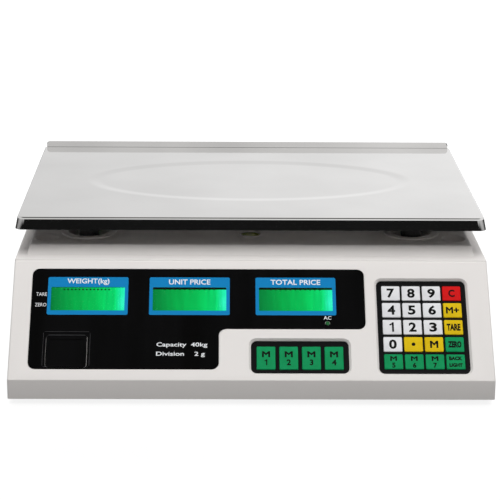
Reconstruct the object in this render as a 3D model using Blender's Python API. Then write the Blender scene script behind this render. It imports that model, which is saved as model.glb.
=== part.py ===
"""Retail price computing scale: a steel weighing pan on a load cell platform, in a moulded plastic housing.

Metres, +Z up. The origin is on the floor at the middle of the footprint, the operator stands at -Y and the
customer at +Y. Run it with: blender --background --python part.py
"""

import math

import bmesh
import bpy
from mathutils import Matrix, Vector

# Driving sizes of the housing
body_width = 0.339
body_depth = 0.345
wall = 0.0025
air_gap = 0.0003  # clearance between pieces that touch or fit
skirt_bottom = 0.004  # the housing's lower edge, carried on the feet
skirt_height = 0.014
border_height = 0.085  # top of the flat border round the raised deck
panel_run = 0.069  # horizontal length of the sloping control panel
rear_lean = 0.0085  # how far the rear face leans in from bottom to top
edge_chamfer = 0.006
deck_rise = 0.006  # the deck stands this far above the border
deck_margin = 0.009  # from the side walls in to the deck's edge
ledge_depth = 0.0107  # flat border between the panel's top and the deck's front riser
rear_margin = 0.0155
riser_run = 1.1  # horizontal run of the deck's front riser for each unit of rise
side_run = 0.25
rear_run = 0.5

# Weighing pan
pan_width = 0.340
pan_depth = 0.227
pan_offset = -0.0166  # the pan's middle stands in front of the deck's
pan_clearance = 0.0226  # from the deck to the pan's upper face
pan_sheet = 0.0008
pan_flange = 0.0092
pan_fold = 0.0015
pan_lip = 0.0047
pan_corner = 0.010
pan_rear_corner = 0.004
dish_width = 0.250
dish_depth = 0.134
dish_sink = 0.0012
dish_slope = 0.009

# Platform under the pan
post_inset_x = 0.0409  # from the deck's edges in to the posts
post_to_pan_edge = 0.043  # from the posts out to the pan's front edge
post_radius = 0.006
post_hole_radius = 0.015
post_hole_rim = 0.0055
rim_rise = 0.0011
collar_drop = 0.011
cup_radius = 0.0075
cup_skirt = 0.024
cup_cap = 0.0036
arm_width = 0.018
arm_thickness = 0.006
arm_rib = 0.007
cell_length = 0.130
cell_width = 0.030
cell_height = 0.022
cell_bore = 0.0085
cell_bore_reach = 0.016
cell_pad_length = 0.028
spacer_height = 0.012
cell_bolts = (-0.059, -0.044, 0.044, 0.059)
cell_bolt_radius = 0.003
cell_slot = 0.003  # height of the slot that joins the two bores
cell_pad_height = 0.014  # the fixed end's pad, over the chassis sheet
hub_reach = 0.048  # how far the platform's hub reaches left of the middle
hub_overhang = 0.004  # and past the load cell's free end
hub_width = 0.044

# Cover screw wells and the spirit level, on the deck
well_inset_x = 0.0109  # from the deck's edges in to the wells
well_inset_front = 0.0182
well_inset_rear = 0.014
well_radius = 0.0085
well_floor_radius = 0.0052
well_depth = 0.011
level_inset = 0.0288  # from the deck's front edge
level_radius = 0.0072
level_height = 0.009

# Operator's display: places are x across the panel and s up its slope from the skirt
film = 0.0005
film_corner = 0.005
film_margin = 0.0137  # from the left side wall
film_to_keys = 0.00885
film_bottom = 0.0085
film_step = 0.0402
film_top = 0.088
film_notch = -0.023
window_x = (-0.1160, -0.0439, 0.0315)
window_s = 0.0639
window_width = 0.0522
window_height = 0.0188
window_margin = 0.0009  # the cover's opening is this much larger all round
lcd_border = 0.003
lcd_thickness = 0.004
lcd_names = ("lcd_weight", "lcd_unit_price", "lcd_total_price")
badge_x = -0.1295
badge_s = 0.02195
badge_width = 0.0285
badge_height = 0.0243
led_x = 0.0537
led_s = 0.045
led_radius = 0.0015

# Keys
key_travel = 0.0012
key_rise = -0.0006
key_edge = 0.0006
key_clearance = 0.0002
key_flange = 0.00035
key_flange_thickness = 0.001
bezel_thickness = 0.004
bezel_sink = 0.0012
bezel_lip = 0.0022
bezel_corner = 0.0037
mat_thickness = 0.0012
mat_bump = 0.001
board = 0.0016

number_pad_margin = 0.0171  # from the right side wall
number_pad_bottom = 0.0051
number_key_width = 0.0131
number_key_height = 0.0116
number_web_x = 0.00138  # the strip of bezel between two keys
number_web_s = 0.00197
number_border = 0.00327  # the bezel's edge outside the keys
number_keys = (
    ("7", "8", "9", "c"),
    ("4", "5", "6", "m_plus"),
    ("1", "2", "3", "tare"),
    ("0", "point", "m", "zero"),
    ("m5", "m6", "m7", "light"),
)

memory_to_numbers = 0.0215
memory_pad_bottom = 0.00575
memory_key_width = 0.0132
memory_key_height = 0.0185
memory_web = 0.00265
memory_border_x = 0.003625
memory_border_s = 0.003
memory_keys = (("m1", "m2", "m3", "m4"),)

# Customer's display on the rear face
rear_film_width = 0.236
rear_film_height = 0.048
rear_film_s = 0.0345
rear_window_pitch = 0.074
rear_window_s = 0.0315

# Base tray, feet and what stands in the tray
tray_bottom = 0.005
tray_floor = 0.003
tray_wall_height = 0.0045
foot_inset_x = 0.0275  # from the housing's sides, front and rear
foot_inset_front = 0.0385
foot_inset_rear = 0.0325
foot_names = ("front", "rear")
foot_radius = 0.0145
foot_height = 0.007
foot_pocket_depth = 0.009
stud_radius = 0.004
stud_top = 0.027
stud_clearance = 0.0002
chassis_sheet = 0.002
chassis_low = (-0.098, -0.001)
chassis_high = (0.076, 0.128)
chassis_flange = 0.010
nut_boss_radius = 0.008
nut_boss_height = 0.008
cover_screw_radius = 0.0022  # clearance hole in the floor of a well
pilot_radius = 0.0016  # the screw's hole in its column
pilot_depth = 0.02
column_foot_radius = 0.0055
column_top_radius = 0.0045
battery_size = (0.101, 0.070, 0.047)
battery_centre = (-0.0905, -0.040)
battery_edge = 0.0015
door_size = (0.070, 0.046)
main_board_size = (0.110, 0.066)
main_board_centre = (0.086, -0.048)
board_standoff = 0.006
transformer_size = (0.045, 0.038, 0.035)
transformer_centre = (0.108, 0.078)

# Switch and mains inlet, in a shallow recess of the right side wall
recess_depth = 0.0025
recess_size = (0.074, 0.026)  # along Y and along Z
recess_centre = (0.095, 0.040)
switch_y = 0.077
switch_size = (0.021, 0.015)
switch_flange = 0.0012
switch_depth = 0.016
rocker_size = (0.0155, 0.0095)
rocker_tilt = math.radians(9)
inlet_y = 0.112
inlet_size = (0.024, 0.016)
inlet_depth = 0.016
inlet_mouth = (0.0150, 0.0084)
inlet_pin_radius = 0.0012
inlet_pin_pitch = 0.0086

skirt_top = skirt_bottom + skirt_height
front_y = -body_depth / 2
rear_y = body_depth / 2
deck_height = border_height + deck_rise
deck_half_width = body_width / 2 - deck_margin
deck_front = front_y + panel_run + ledge_depth + deck_rise * riser_run
deck_rear = rear_y - rear_margin
pan_centre_y = (deck_front + deck_rear) / 2 + pan_offset
pan_top = deck_height + pan_clearance
post_reach_x = deck_half_width - post_inset_x
post_reach_y = pan_depth / 2 - post_to_pan_edge
well_x = deck_half_width - well_inset_x
foot_x = body_width / 2 - foot_inset_x
foot_y = (front_y + foot_inset_front, rear_y - foot_inset_rear)
panel_angle = math.atan2(border_height - skirt_top, panel_run)
rear_angle = math.atan2(border_height - skirt_top, rear_lean)
number_pitch_x = number_key_width + number_web_x
number_pitch_s = number_key_height + number_web_s
number_pad_width = number_key_width + (len(number_keys[0]) - 1) * number_pitch_x + 2 * number_border
number_pad_height = number_key_height + (len(number_keys) - 1) * number_pitch_s + 2 * number_border
number_pad_x = body_width / 2 - number_pad_margin - number_pad_width / 2
number_pad_s = number_pad_bottom + number_pad_height / 2
memory_pitch_x = memory_key_width + memory_web
memory_pad_width = memory_key_width + (len(memory_keys[0]) - 1) * memory_pitch_x + 2 * memory_border_x
memory_pad_height = memory_key_height + 2 * memory_border_s
memory_pad_x = number_pad_x - (number_pad_width + memory_pad_width) / 2 - memory_to_numbers
memory_pad_s = memory_pad_bottom + memory_pad_height / 2
film_left = film_margin - body_width / 2
film_right = number_pad_x - number_pad_width / 2 - film_to_keys
film_recess = film + air_gap
floor_top = tray_bottom + tray_floor

# Empty the scene, then make a collection for the parts and one for the cutters
for old in list(bpy.data.objects):
    bpy.data.objects.remove(old)
parts = bpy.data.collections.new("price_scale")
cutters = bpy.data.collections.new("cutters")
cutters.hide_render = True
bpy.context.scene.collection.children.link(parts)
bpy.context.scene.collection.children.link(cutters)


def material(name, colour, roughness, metallic=0.0):
    made = bpy.data.materials.new(name)
    made.use_nodes = True
    shader = made.node_tree.nodes["Principled BSDF"]
    shader.inputs["Base Color"].default_value = (*colour, 1.0)
    shader.inputs["Roughness"].default_value = roughness
    shader.inputs["Metallic"].default_value = metallic
    return made


white_abs = material("white_abs", (0.80, 0.78, 0.75), 0.35)
grey_abs = material("grey_abs", (0.35, 0.35, 0.34), 0.5)
black_film = material("black_film", (0.008, 0.008, 0.009), 0.2)
black_plastic = material("black_plastic", (0.012, 0.012, 0.013), 0.35)
black_rubber = material("black_rubber", (0.015, 0.015, 0.015), 0.7)
polished_steel = material("polished_steel", (0.62, 0.62, 0.62), 0.12, 1.0)
aluminium = material("aluminium", (0.55, 0.56, 0.57), 0.4, 1.0)
zinc_steel = material("zinc_steel", (0.45, 0.45, 0.43), 0.4, 1.0)
green_lcd = material("green_lcd", (0.02, 0.55, 0.13), 0.25)
circuit_board = material("circuit_board", (0.02, 0.16, 0.06), 0.45)
level_fluid = material("level_fluid", (0.45, 0.55, 0.10), 0.15)
battery_grey = material("battery_grey", (0.10, 0.10, 0.11), 0.55)
core_steel = material("core_steel", (0.18, 0.18, 0.18), 0.5, 0.6)
key_white = material("key_white", (0.78, 0.78, 0.78), 0.3)
key_yellow = material("key_yellow", (0.80, 0.56, 0.01), 0.3)
key_green = material("key_green", (0.01, 0.27, 0.11), 0.3)
key_red = material("key_red", (0.62, 0.01, 0.01), 0.3)
key_colours = {
    "c": key_red, "m_plus": key_yellow, "tare": key_yellow, "point": key_yellow, "m": key_yellow
}
key_colours.update(
    {name: key_green for name in ("zero", "light", "m1", "m2", "m3", "m4", "m5", "m6", "m7")}
)


def frame(name, place, turn):
    """An empty whose own axes are those of a face of the housing: z points out of the face."""
    made = bpy.data.objects.new(name, None)
    made.location = place
    made.rotation_euler = turn
    parts.objects.link(made)
    return made


panel = frame("panel_frame", (0, front_y, skirt_top), (panel_angle, 0, 0))
rear_face = frame("rear_frame", (0, rear_y, skirt_top), (rear_angle, 0, math.pi))
body_axes = frame("profile_frame", (0, 0, 0), (math.pi / 2, 0, math.pi / 2))
side_face = frame(
    "side_frame",
    (body_width / 2 - recess_depth, recess_centre[0], recess_centre[1]),
    (math.pi / 2, 0, math.pi / 2),
)


def add(name, shape, finish=None, parent=None, place=(0, 0, 0)):
    """Makes an object from a bmesh. One without a finish is a cutter or a piece to join."""
    mesh = bpy.data.meshes.new(name)
    shape.to_mesh(mesh)
    shape.free()
    made = bpy.data.objects.new(name, mesh)
    made.location = place
    made.parent = parent
    if finish is None:
        cutters.objects.link(made)
        made.hide_render = True
        made.display_type = "WIRE"
    else:
        parts.objects.link(made)
        mesh.materials.append(finish)
    return made


def block(size, centre=(0, 0, 0), into=None):
    """A box, made alone or added to another bmesh."""
    shape = into or bmesh.new()
    corners = bmesh.ops.create_cube(shape, size=1)["verts"]
    bmesh.ops.scale(shape, vec=size, verts=corners)
    bmesh.ops.translate(shape, vec=centre, verts=corners)
    return shape


def span(low, high, into=None):
    """A box from its lowest corner to its highest."""
    low, high = Vector(low), Vector(high)
    return block(high - low, (low + high) / 2, into)


def round_bar(radius, low, high, centre=(0, 0), top_radius=None, sides=20, into=None):
    """An upright cylinder, or a cone if it has a top radius."""
    shape = into or bmesh.new()
    made = bmesh.ops.create_cone(
        shape,
        cap_ends=True,
        segments=sides,
        radius1=radius,
        radius2=radius if top_radius is None else top_radius,
        depth=high - low,
    )["verts"]
    bmesh.ops.translate(shape, vec=(*centre, (low + high) / 2), verts=made)
    return shape


def tapered(low_box, high_box, low, high):
    """A block whose lower and upper faces are (left, right, front, rear)."""
    shape = bmesh.new()
    for corner in bmesh.ops.create_cube(shape, size=1)["verts"]:
        left, right, front, rear = low_box if corner.co.z < 0 else high_box
        corner.co.z = low if corner.co.z < 0 else high
        corner.co.x = left if corner.co.x < 0 else right
        corner.co.y = front if corner.co.y < 0 else rear
    return shape


def rounded(corners, radius, steps=4):
    """The corners of a closed outline with each one turned into an arc."""
    points = []
    for i, corner in enumerate(corners):
        corner = Vector(corner)
        before = (Vector(corners[i - 1]) - corner).normalized()
        after = (Vector(corners[(i + 1) % len(corners)]) - corner).normalized()
        half = before.angle(after) / 2
        bend = radius[i] if isinstance(radius, (list, tuple)) else radius
        middle = corner + (before + after).normalized() * bend / math.sin(half)
        start = corner + before * bend / math.tan(half) - middle
        end = corner + after * bend / math.tan(half) - middle
        first = math.atan2(start.y, start.x)
        turn = (math.atan2(end.y, end.x) - first + math.pi) % (2 * math.pi) - math.pi
        for step in range(steps + 1):
            angle = first + turn * step / steps
            points.append((middle.x + bend * math.cos(angle), middle.y + bend * math.sin(angle)))
    return points


def rectangle(width, height, x=0, y=0):
    return [
        (x + across * width / 2, y + up * height / 2)
        for across, up in ((-1, -1), (1, -1), (1, 1), (-1, 1))
    ]


def grown(corners, amount):
    """An anticlockwise outline moved outwards by an amount, or inwards by a negative one."""
    lines = []
    for i, corner in enumerate(corners):
        start, end = Vector(corner), Vector(corners[(i + 1) % len(corners)])
        along = (end - start).normalized()
        out = Vector((along.y, -along.x)) * amount
        lines.append((start + out, along))
    made = []
    for i, (point, along) in enumerate(lines):
        other, other_along = lines[i - 1]
        reach = (other - point).cross(other_along) / along.cross(other_along)
        made.append(tuple(point + along * reach))
    return made


def prism(outline, low, high):
    """A solid between two heights of its own z axis, with the outline as its section."""
    curve = bpy.data.curves.new("outline", "CURVE")
    curve.dimensions = "2D"
    curve.fill_mode = "BOTH"
    curve.extrude = (high - low) / 2
    spline = curve.splines.new("POLY")
    spline.points.add(len(outline) - 1)
    for point, (x, y) in zip(spline.points, outline):
        point.co = (x, y, 0, 1)
    spline.use_cyclic_u = True
    holder = bpy.data.objects.new("outline", curve)
    cutters.objects.link(holder)
    mesh = bpy.data.meshes.new_from_object(
        holder.evaluated_get(bpy.context.evaluated_depsgraph_get())
    )
    shape = bmesh.new()
    shape.from_mesh(mesh)
    bpy.data.objects.remove(holder)
    bmesh.ops.remove_doubles(shape, verts=shape.verts, dist=1e-6)
    bmesh.ops.dissolve_limit(shape, angle_limit=0.001, verts=shape.verts, edges=shape.edges)
    bmesh.ops.translate(shape, vec=(0, 0, (low + high) / 2), verts=shape.verts)
    bmesh.ops.recalc_face_normals(shape, faces=shape.faces)
    return shape


def soften(shape, wanted, width, segments=1):
    """Bevels the edges of a bmesh that pass the test."""
    edges = [edge for edge in shape.edges if edge.calc_face_angle(0) > 0.1 and wanted(edge)]
    bmesh.ops.bevel(shape, geom=edges, offset=width, segments=segments, profile=0.5, affect="EDGES")
    return shape


def change(piece, other, operation):
    """A Boolean modifier on a piece."""
    modifier = piece.modifiers.new(other.name, "BOOLEAN")
    modifier.object = other
    modifier.operation = operation
    modifier.solver = "EXACT"


def cut(piece, name, shape, parent=None, place=(0, 0, 0)):
    change(piece, add(f"{piece.name}_{name}", shape, parent=parent, place=place), "DIFFERENCE")


def weld(piece, name, shape, parent=None, place=(0, 0, 0)):
    change(piece, add(f"{piece.name}_{name}", shape, parent=parent, place=place), "UNION")


def housing_profile():
    """The side view of the housing below the deck, as (y, z) points, anticlockwise from the front's foot."""
    return [
        (front_y, skirt_bottom),
        (rear_y, skirt_bottom),
        (rear_y, skirt_top),
        (rear_y - rear_lean, border_height),
        (front_y + panel_run, border_height),
        (front_y, skirt_top),
    ]


def housing_solid(inset, half_width, chamfer, bottom):
    """The housing's side view, taken in by an inset, across its width, with its side corners chamfered."""
    low = skirt_bottom + inset + 1e-6
    outline = [(y, bottom if z < low else z) for y, z in grown(housing_profile(), -inset)]
    shape = prism(outline, -half_width, half_width)

    def on_side_rim(edge):
        ends = [end.co for end in edge.verts]
        same_side = abs(sum(end.z for end in ends)) > half_width
        return same_side and any(end.y > bottom + 1e-6 for end in ends)

    return soften(shape, on_side_rim, chamfer)


def deck_block(inset, low):
    """The raised deck, taken in by an inset, from its top down to a height."""
    top = deck_height - inset
    drop = top - low
    left, right = -deck_half_width + inset, deck_half_width - inset
    front, rear = deck_front + inset, deck_rear - inset
    foot = (
        left - drop * side_run,
        right + drop * side_run,
        front - drop * riser_run,
        rear + drop * rear_run,
    )
    return tapered(foot, (left, right, front, rear), low, top)


def post_places():
    return [
        (across * post_reach_x, pan_centre_y + along * post_reach_y)
        for along in (-1, 1)
        for across in (-1, 1)
    ]


def well_places():
    return [
        (across * well_x, y)
        for y in (deck_front + well_inset_front, deck_rear - well_inset_rear) for across in (-1, 1)
    ]


def film_outline(spread=0.0):
    """The operator's overlay: a wide band with the displays and a lower step on the left."""
    corners = [
        (film_left, film_bottom),
        (film_notch, film_bottom),
        (film_notch, film_step),
        (film_right, film_step),
        (film_right, film_top),
        (film_left, film_top),
    ]
    return rounded(grown(corners, spread), film_corner)


def windows(depth_low, depth_high, places, s, spread, into=None):
    """One box for each display window, in a face's own axes."""
    shape = into or bmesh.new()
    for x in places:
        span(
            (x - window_width / 2 - spread, s - window_height / 2 - spread, depth_low),
            (x + window_width / 2 + spread, s + window_height / 2 + spread, depth_high),
            shape,
        )
    return shape


rear_windows = [step * rear_window_pitch for step in (-1, 0, 1)]


def rear_film_outline(spread=0.0):
    corners = rectangle(rear_film_width, rear_film_height, 0, rear_film_s)
    return rounded(grown(corners, spread), film_corner)


def pad_outline(width, height, x, s, spread=0.0):
    return rounded(rectangle(width + 2 * spread, height + 2 * spread, x, s), bezel_corner + spread)


def number_outline(spread=0.0):
    return pad_outline(number_pad_width, number_pad_height, number_pad_x, number_pad_s, spread)


def memory_outline(spread=0.0):
    return pad_outline(memory_pad_width, memory_pad_height, memory_pad_x, memory_pad_s, spread)


def side_recess(spread, low, high):
    """The recess for the switch and the inlet. In the side face's axes x is along Y, y is up, z points out."""
    return prism(
        rounded(
            rectangle(recess_size[0] + 2 * spread, recess_size[1] + 2 * spread), 0.003 + spread
        ),
        low,
        high,
    )


def make_top_cover():
    inner_chamfer = edge_chamfer - wall * (2 - math.sqrt(2))
    cover = add(
        "top_cover",
        housing_solid(0, body_width / 2, edge_chamfer, skirt_bottom),
        white_abs,
        body_axes,
    )
    weld(cover, "deck", deck_block(0, border_height - 2 * air_gap))
    cavity = housing_solid(wall, body_width / 2 - wall, inner_chamfer, skirt_bottom - wall)
    cut(cover, "cavity", cavity, body_axes)
    cut(cover, "deck_cavity", deck_block(wall, border_height - 2 * wall))
    bosses = bmesh.new()
    for place in post_places():
        round_bar(
            post_hole_radius + post_hole_rim,
            deck_height - collar_drop,
            deck_height + rim_rise,
            place,
            sides=32,
            into=bosses,
        )
    for place in well_places():
        round_bar(
            well_floor_radius + wall / 2,
            deck_height - well_depth - wall,
            deck_height - air_gap,
            place,
            top_radius=well_radius + wall / 2,
            into=bosses,
        )
    round_bar(
        level_radius + wall,
        deck_height - level_height,
        deck_height + air_gap,
        (0, deck_front + level_inset),
        sides=32,
        into=bosses,
    )
    weld(cover, "bosses", bosses)
    holes = bmesh.new()
    for place in post_places():
        round_bar(
            post_hole_radius,
            deck_height - 2 * collar_drop,
            deck_height + wall,
            place,
            sides=32,
            into=holes,
        )
    for place in well_places():
        flare = (well_radius - well_floor_radius) / well_depth
        round_bar(
            well_floor_radius,
            deck_height - well_depth,
            deck_height + air_gap,
            place,
            top_radius=well_radius + air_gap * flare,
            into=holes,
        )
    round_bar(
        level_radius + air_gap,
        deck_height - 2 * level_height,
        deck_height + wall,
        (0, deck_front + level_inset),
        sides=32,
        into=holes,
    )
    cut(cover, "deck_holes", holes)
    screw_holes = bmesh.new()
    for place in well_places():
        round_bar(
            cover_screw_radius,
            deck_height - well_depth - 2 * wall,
            deck_height - well_depth + wall,
            place,
            sides=12,
            into=screw_holes,
        )
    cut(cover, "screw_holes", screw_holes)

    cut(cover, "film_recess", prism(film_outline(air_gap), -film_recess, wall), panel)
    openings = windows(-2 * wall, wall, window_x, window_s, window_margin)
    round_bar(led_radius + air_gap, -2 * wall, wall, (led_x, led_s), sides=12, into=openings)
    cut(cover, "front_windows", openings, panel)
    cut(cover, "number_pad", prism(number_outline(air_gap), -2 * wall, wall), panel)
    cut(cover, "memory_pad", prism(memory_outline(air_gap), -2 * wall, wall), panel)
    cut(cover, "rear_film_recess", prism(rear_film_outline(air_gap), -film_recess, wall), rear_face)
    cut(
        cover,
        "rear_windows",
        windows(-2 * wall, wall, rear_windows, rear_window_s, window_margin),
        rear_face,
    )

    weld(cover, "recess_back", side_recess(wall, -wall, recess_depth - 2 * air_gap), side_face)
    cut(cover, "recess", side_recess(0, 0, recess_depth + wall), side_face)
    sockets = bmesh.new()
    for y, size in ((switch_y, switch_size), (inlet_y, inlet_size)):
        block(
            (size[0] - 0.002 + 2 * air_gap, size[1] - 0.002 + 2 * air_gap, 4 * wall),
            (y - recess_centre[0], 0, 0),
            sockets,
        )
    cut(cover, "sockets", sockets, side_face)


def pan_outline(inset):
    corners = rectangle(pan_width - 2 * inset, pan_depth - 2 * inset)
    front, rear = pan_corner - inset, pan_rear_corner - inset
    return rounded(corners, [front, front, rear, rear], steps=5)


def oval(width, depth, low, high, slope):
    """An oval disc whose wall leans in by slope from its upper face to its lower one."""
    shape = bmesh.new()
    made = bmesh.ops.create_cone(
        shape, cap_ends=True, segments=48, radius1=1, radius2=1, depth=high - low
    )["verts"]
    for point in made:
        lean = slope if point.co.z < 0 else 0
        point.co.x *= width / 2 - lean
        point.co.y *= depth / 2 - lean
        point.co.z += (low + high) / 2
    return shape


def make_pan():
    """A pressed steel tray with folded edges, a low lip along the customer's side and a shallow oval dish."""
    place = (0, pan_centre_y, pan_top)

    def on_top(edge):
        return all(end.co.z > -1e-6 for end in edge.verts)

    sheet = soften(prism(pan_outline(0), -pan_flange, 0), on_top, pan_fold, 3)
    pan = add("weighing_pan", sheet, polished_steel, place=place)
    weld(
        pan,
        "dish_back",
        oval(dish_width, dish_depth, -pan_sheet - dish_sink, -pan_sheet / 2, dish_slope),
        place=place,
    )
    hollow = prism(pan_outline(pan_sheet), -pan_flange - pan_sheet, -pan_sheet)
    inner = soften(
        hollow,
        lambda edge: all(end.co.z > -pan_sheet - 1e-6 for end in edge.verts),
        pan_fold - pan_sheet,
        2,
    )
    dish_room = oval(dish_width, dish_depth, -pan_sheet - dish_sink, 0, dish_slope)
    hollow_cutter = add("pan_hollow", inner, place=place)
    change(hollow_cutter, add("pan_dish_room", dish_room, place=place), "DIFFERENCE")
    change(pan, hollow_cutter, "DIFFERENCE")
    cut(
        pan,
        "dish",
        oval(
            dish_width,
            dish_depth,
            -dish_sink,
            pan_sheet,
            dish_slope * (dish_sink + pan_sheet) / dish_sink,
        ),
        place=place,
    )
    rear_edge = pan_depth / 2 - pan_rear_corner
    cut(
        pan,
        "rear_notch",
        span((-pan_width, rear_edge, -2 * pan_flange), (pan_width, pan_depth, -pan_fold)),
        place=place,
    )
    lip_width = pan_width - 2 * pan_rear_corner
    corners = rectangle(lip_width, pan_lip + pan_fold, 0, (pan_lip - pan_fold) / 2)
    lip = prism(
        rounded(corners, [0.0005, 0.0005, 0.003, 0.003]),
        -pan_depth / 2 + air_gap,
        -pan_depth / 2 + air_gap + pan_sheet,
    )
    bmesh.ops.rotate(lip, cent=(0, 0, 0), matrix=body_turn(), verts=lip.verts)
    weld(pan, "rear_lip", lip, place=place)


def body_turn():
    """Turns a flat outline upright, so that its y becomes the height and its z points to the front."""
    return Matrix.Rotation(math.pi / 2, 3, "X")


cup_top = pan_top - pan_sheet - air_gap
cell_bottom = floor_top + air_gap + chassis_sheet + cell_pad_height
cell_top = cell_bottom + cell_height
spacer_top = cell_top + air_gap + spacer_height
arm_bottom = spacer_top + air_gap
arm_top = arm_bottom + arm_thickness
post_top = cup_top - cup_cap - air_gap


def make_platform():
    """The four-armed casting that carries the pan, and its rubber cups."""
    hub = span(
        (-hub_reach, pan_centre_y - hub_width / 2, arm_bottom),
        (cell_length / 2 + hub_overhang, pan_centre_y + hub_width / 2, arm_top),
    )
    platform = add("platform_spider", hub, aluminium)
    reach = math.hypot(post_reach_x, post_reach_y)
    for side in (-1, 1):
        turn = side * math.atan2(post_reach_y, post_reach_x)
        arm = block((2 * reach, arm_width, arm_thickness - 2 * air_gap))
        rib = block((2 * reach - arm_width, arm_thickness / 2, arm_rib), (0, 0, arm_thickness / 2))
        for name, shape in (("arm", arm), ("rib", rib)):
            middle = (0, pan_centre_y, (arm_bottom + arm_top) / 2)
            piece = add(f"spider_{name}_{'left' if side < 0 else 'right'}", shape, place=middle)
            piece.rotation_euler.z = turn
            change(platform, piece, "UNION")
    posts = bmesh.new()
    for place in post_places():
        round_bar(arm_width / 2 + 0.001, arm_bottom - air_gap, arm_top + air_gap, place, into=posts)
    weld(platform, "post_feet", posts)
    posts = bmesh.new()
    for place in post_places():
        round_bar(post_radius, arm_bottom + 0.001, post_top, place, sides=20, into=posts)
    weld(platform, "posts", posts)
    names = ("front_left", "front_right", "rear_left", "rear_right")
    for name, (x, y) in zip(names, post_places()):
        cup = add(
            f"pan_cup_{name}",
            round_bar(cup_radius, cup_top - cup_skirt, cup_top),
            black_rubber,
            place=(x, y, 0),
        )
        bore = round_bar(
            post_radius + air_gap, cup_top - 2 * cup_skirt, post_top + air_gap, sides=20
        )
        cut(cup, "bore", bore, place=(x, y, 0))


def make_load_cell():
    """A single-point load cell: a bar with two joined bores that thin its middle, held at its left end."""
    low = (-cell_length / 2, pan_centre_y - cell_width / 2, cell_bottom)
    high = (cell_length / 2, pan_centre_y + cell_width / 2, cell_top)
    cell = add("load_cell", span(low, high), aluminium)
    middle = (0, pan_centre_y, (cell_bottom + cell_top) / 2)
    for name, side in (("left", -1), ("right", 1)):
        bore = round_bar(cell_bore, -cell_width, cell_width)
        bmesh.ops.rotate(bore, cent=(0, 0, 0), matrix=body_turn(), verts=bore.verts)
        cut(
            cell,
            f"bore_{name}",
            bore,
            place=(middle[0] + side * cell_bore_reach, middle[1], middle[2]),
        )
    cut(cell, "slot", block((2 * cell_bore_reach, 2 * cell_width, cell_slot)), place=middle)
    bolts = bmesh.new()
    for x in cell_bolts:
        round_bar(
            cell_bolt_radius,
            cell_bottom - wall,
            cell_top + wall,
            (x, pan_centre_y),
            sides=12,
            into=bolts,
        )
    cut(cell, "bolt_holes", bolts)
    spacer_low = (
        cell_length / 2 - cell_pad_length, pan_centre_y - cell_width / 2, cell_top + air_gap
    )
    add(
        "load_cell_spacer",
        span(spacer_low, (cell_length / 2, pan_centre_y + cell_width / 2, spacer_top)),
        zinc_steel,
    )


def make_chassis():
    """The steel sheet that ties the load cell to the tray, with a thick pad under the cell's fixed end."""
    bottom = floor_top + air_gap
    sheet = span((*chassis_low, bottom), (*chassis_high, bottom + chassis_sheet))
    chassis = add("chassis_plate", sheet, zinc_steel)
    pad_low = (-cell_length / 2, pan_centre_y - cell_width / 2, bottom + air_gap)
    pad_high = (
        -cell_length / 2 + cell_pad_length, pan_centre_y + cell_width / 2, cell_bottom - air_gap
    )
    weld(chassis, "cell_pad", span(pad_low, pad_high))
    for name, y in (("front", chassis_low[1]), ("rear", chassis_high[1] - 2 * chassis_sheet)):
        flange_high = (chassis_high[0], y + chassis_sheet, bottom + chassis_flange)
        flange = span((chassis_low[0], y, bottom), flange_high)
        weld(chassis, f"{name}_flange", flange)


def tray_outline(inset):
    """The plan of the housing's inside, taken in by an inset, with its four corners cut off."""
    x, y = body_width / 2 - wall - inset, body_depth / 2 - wall - inset
    c = edge_chamfer - (wall + inset) * (2 - math.sqrt(2))
    return [
        (c - x, -y),
        (x - c, -y),
        (x, c - y),
        (x, y - c),
        (x - c, y),
        (c - x, y),
        (-x, y - c),
        (-x, c - y),
    ]


def foot_places():
    return [
        (f"{end}_{side}", across * foot_x, y)
        for end, y in zip(foot_names, foot_y)
        for side, across in (("left", -1), ("right", 1))
    ]


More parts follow.
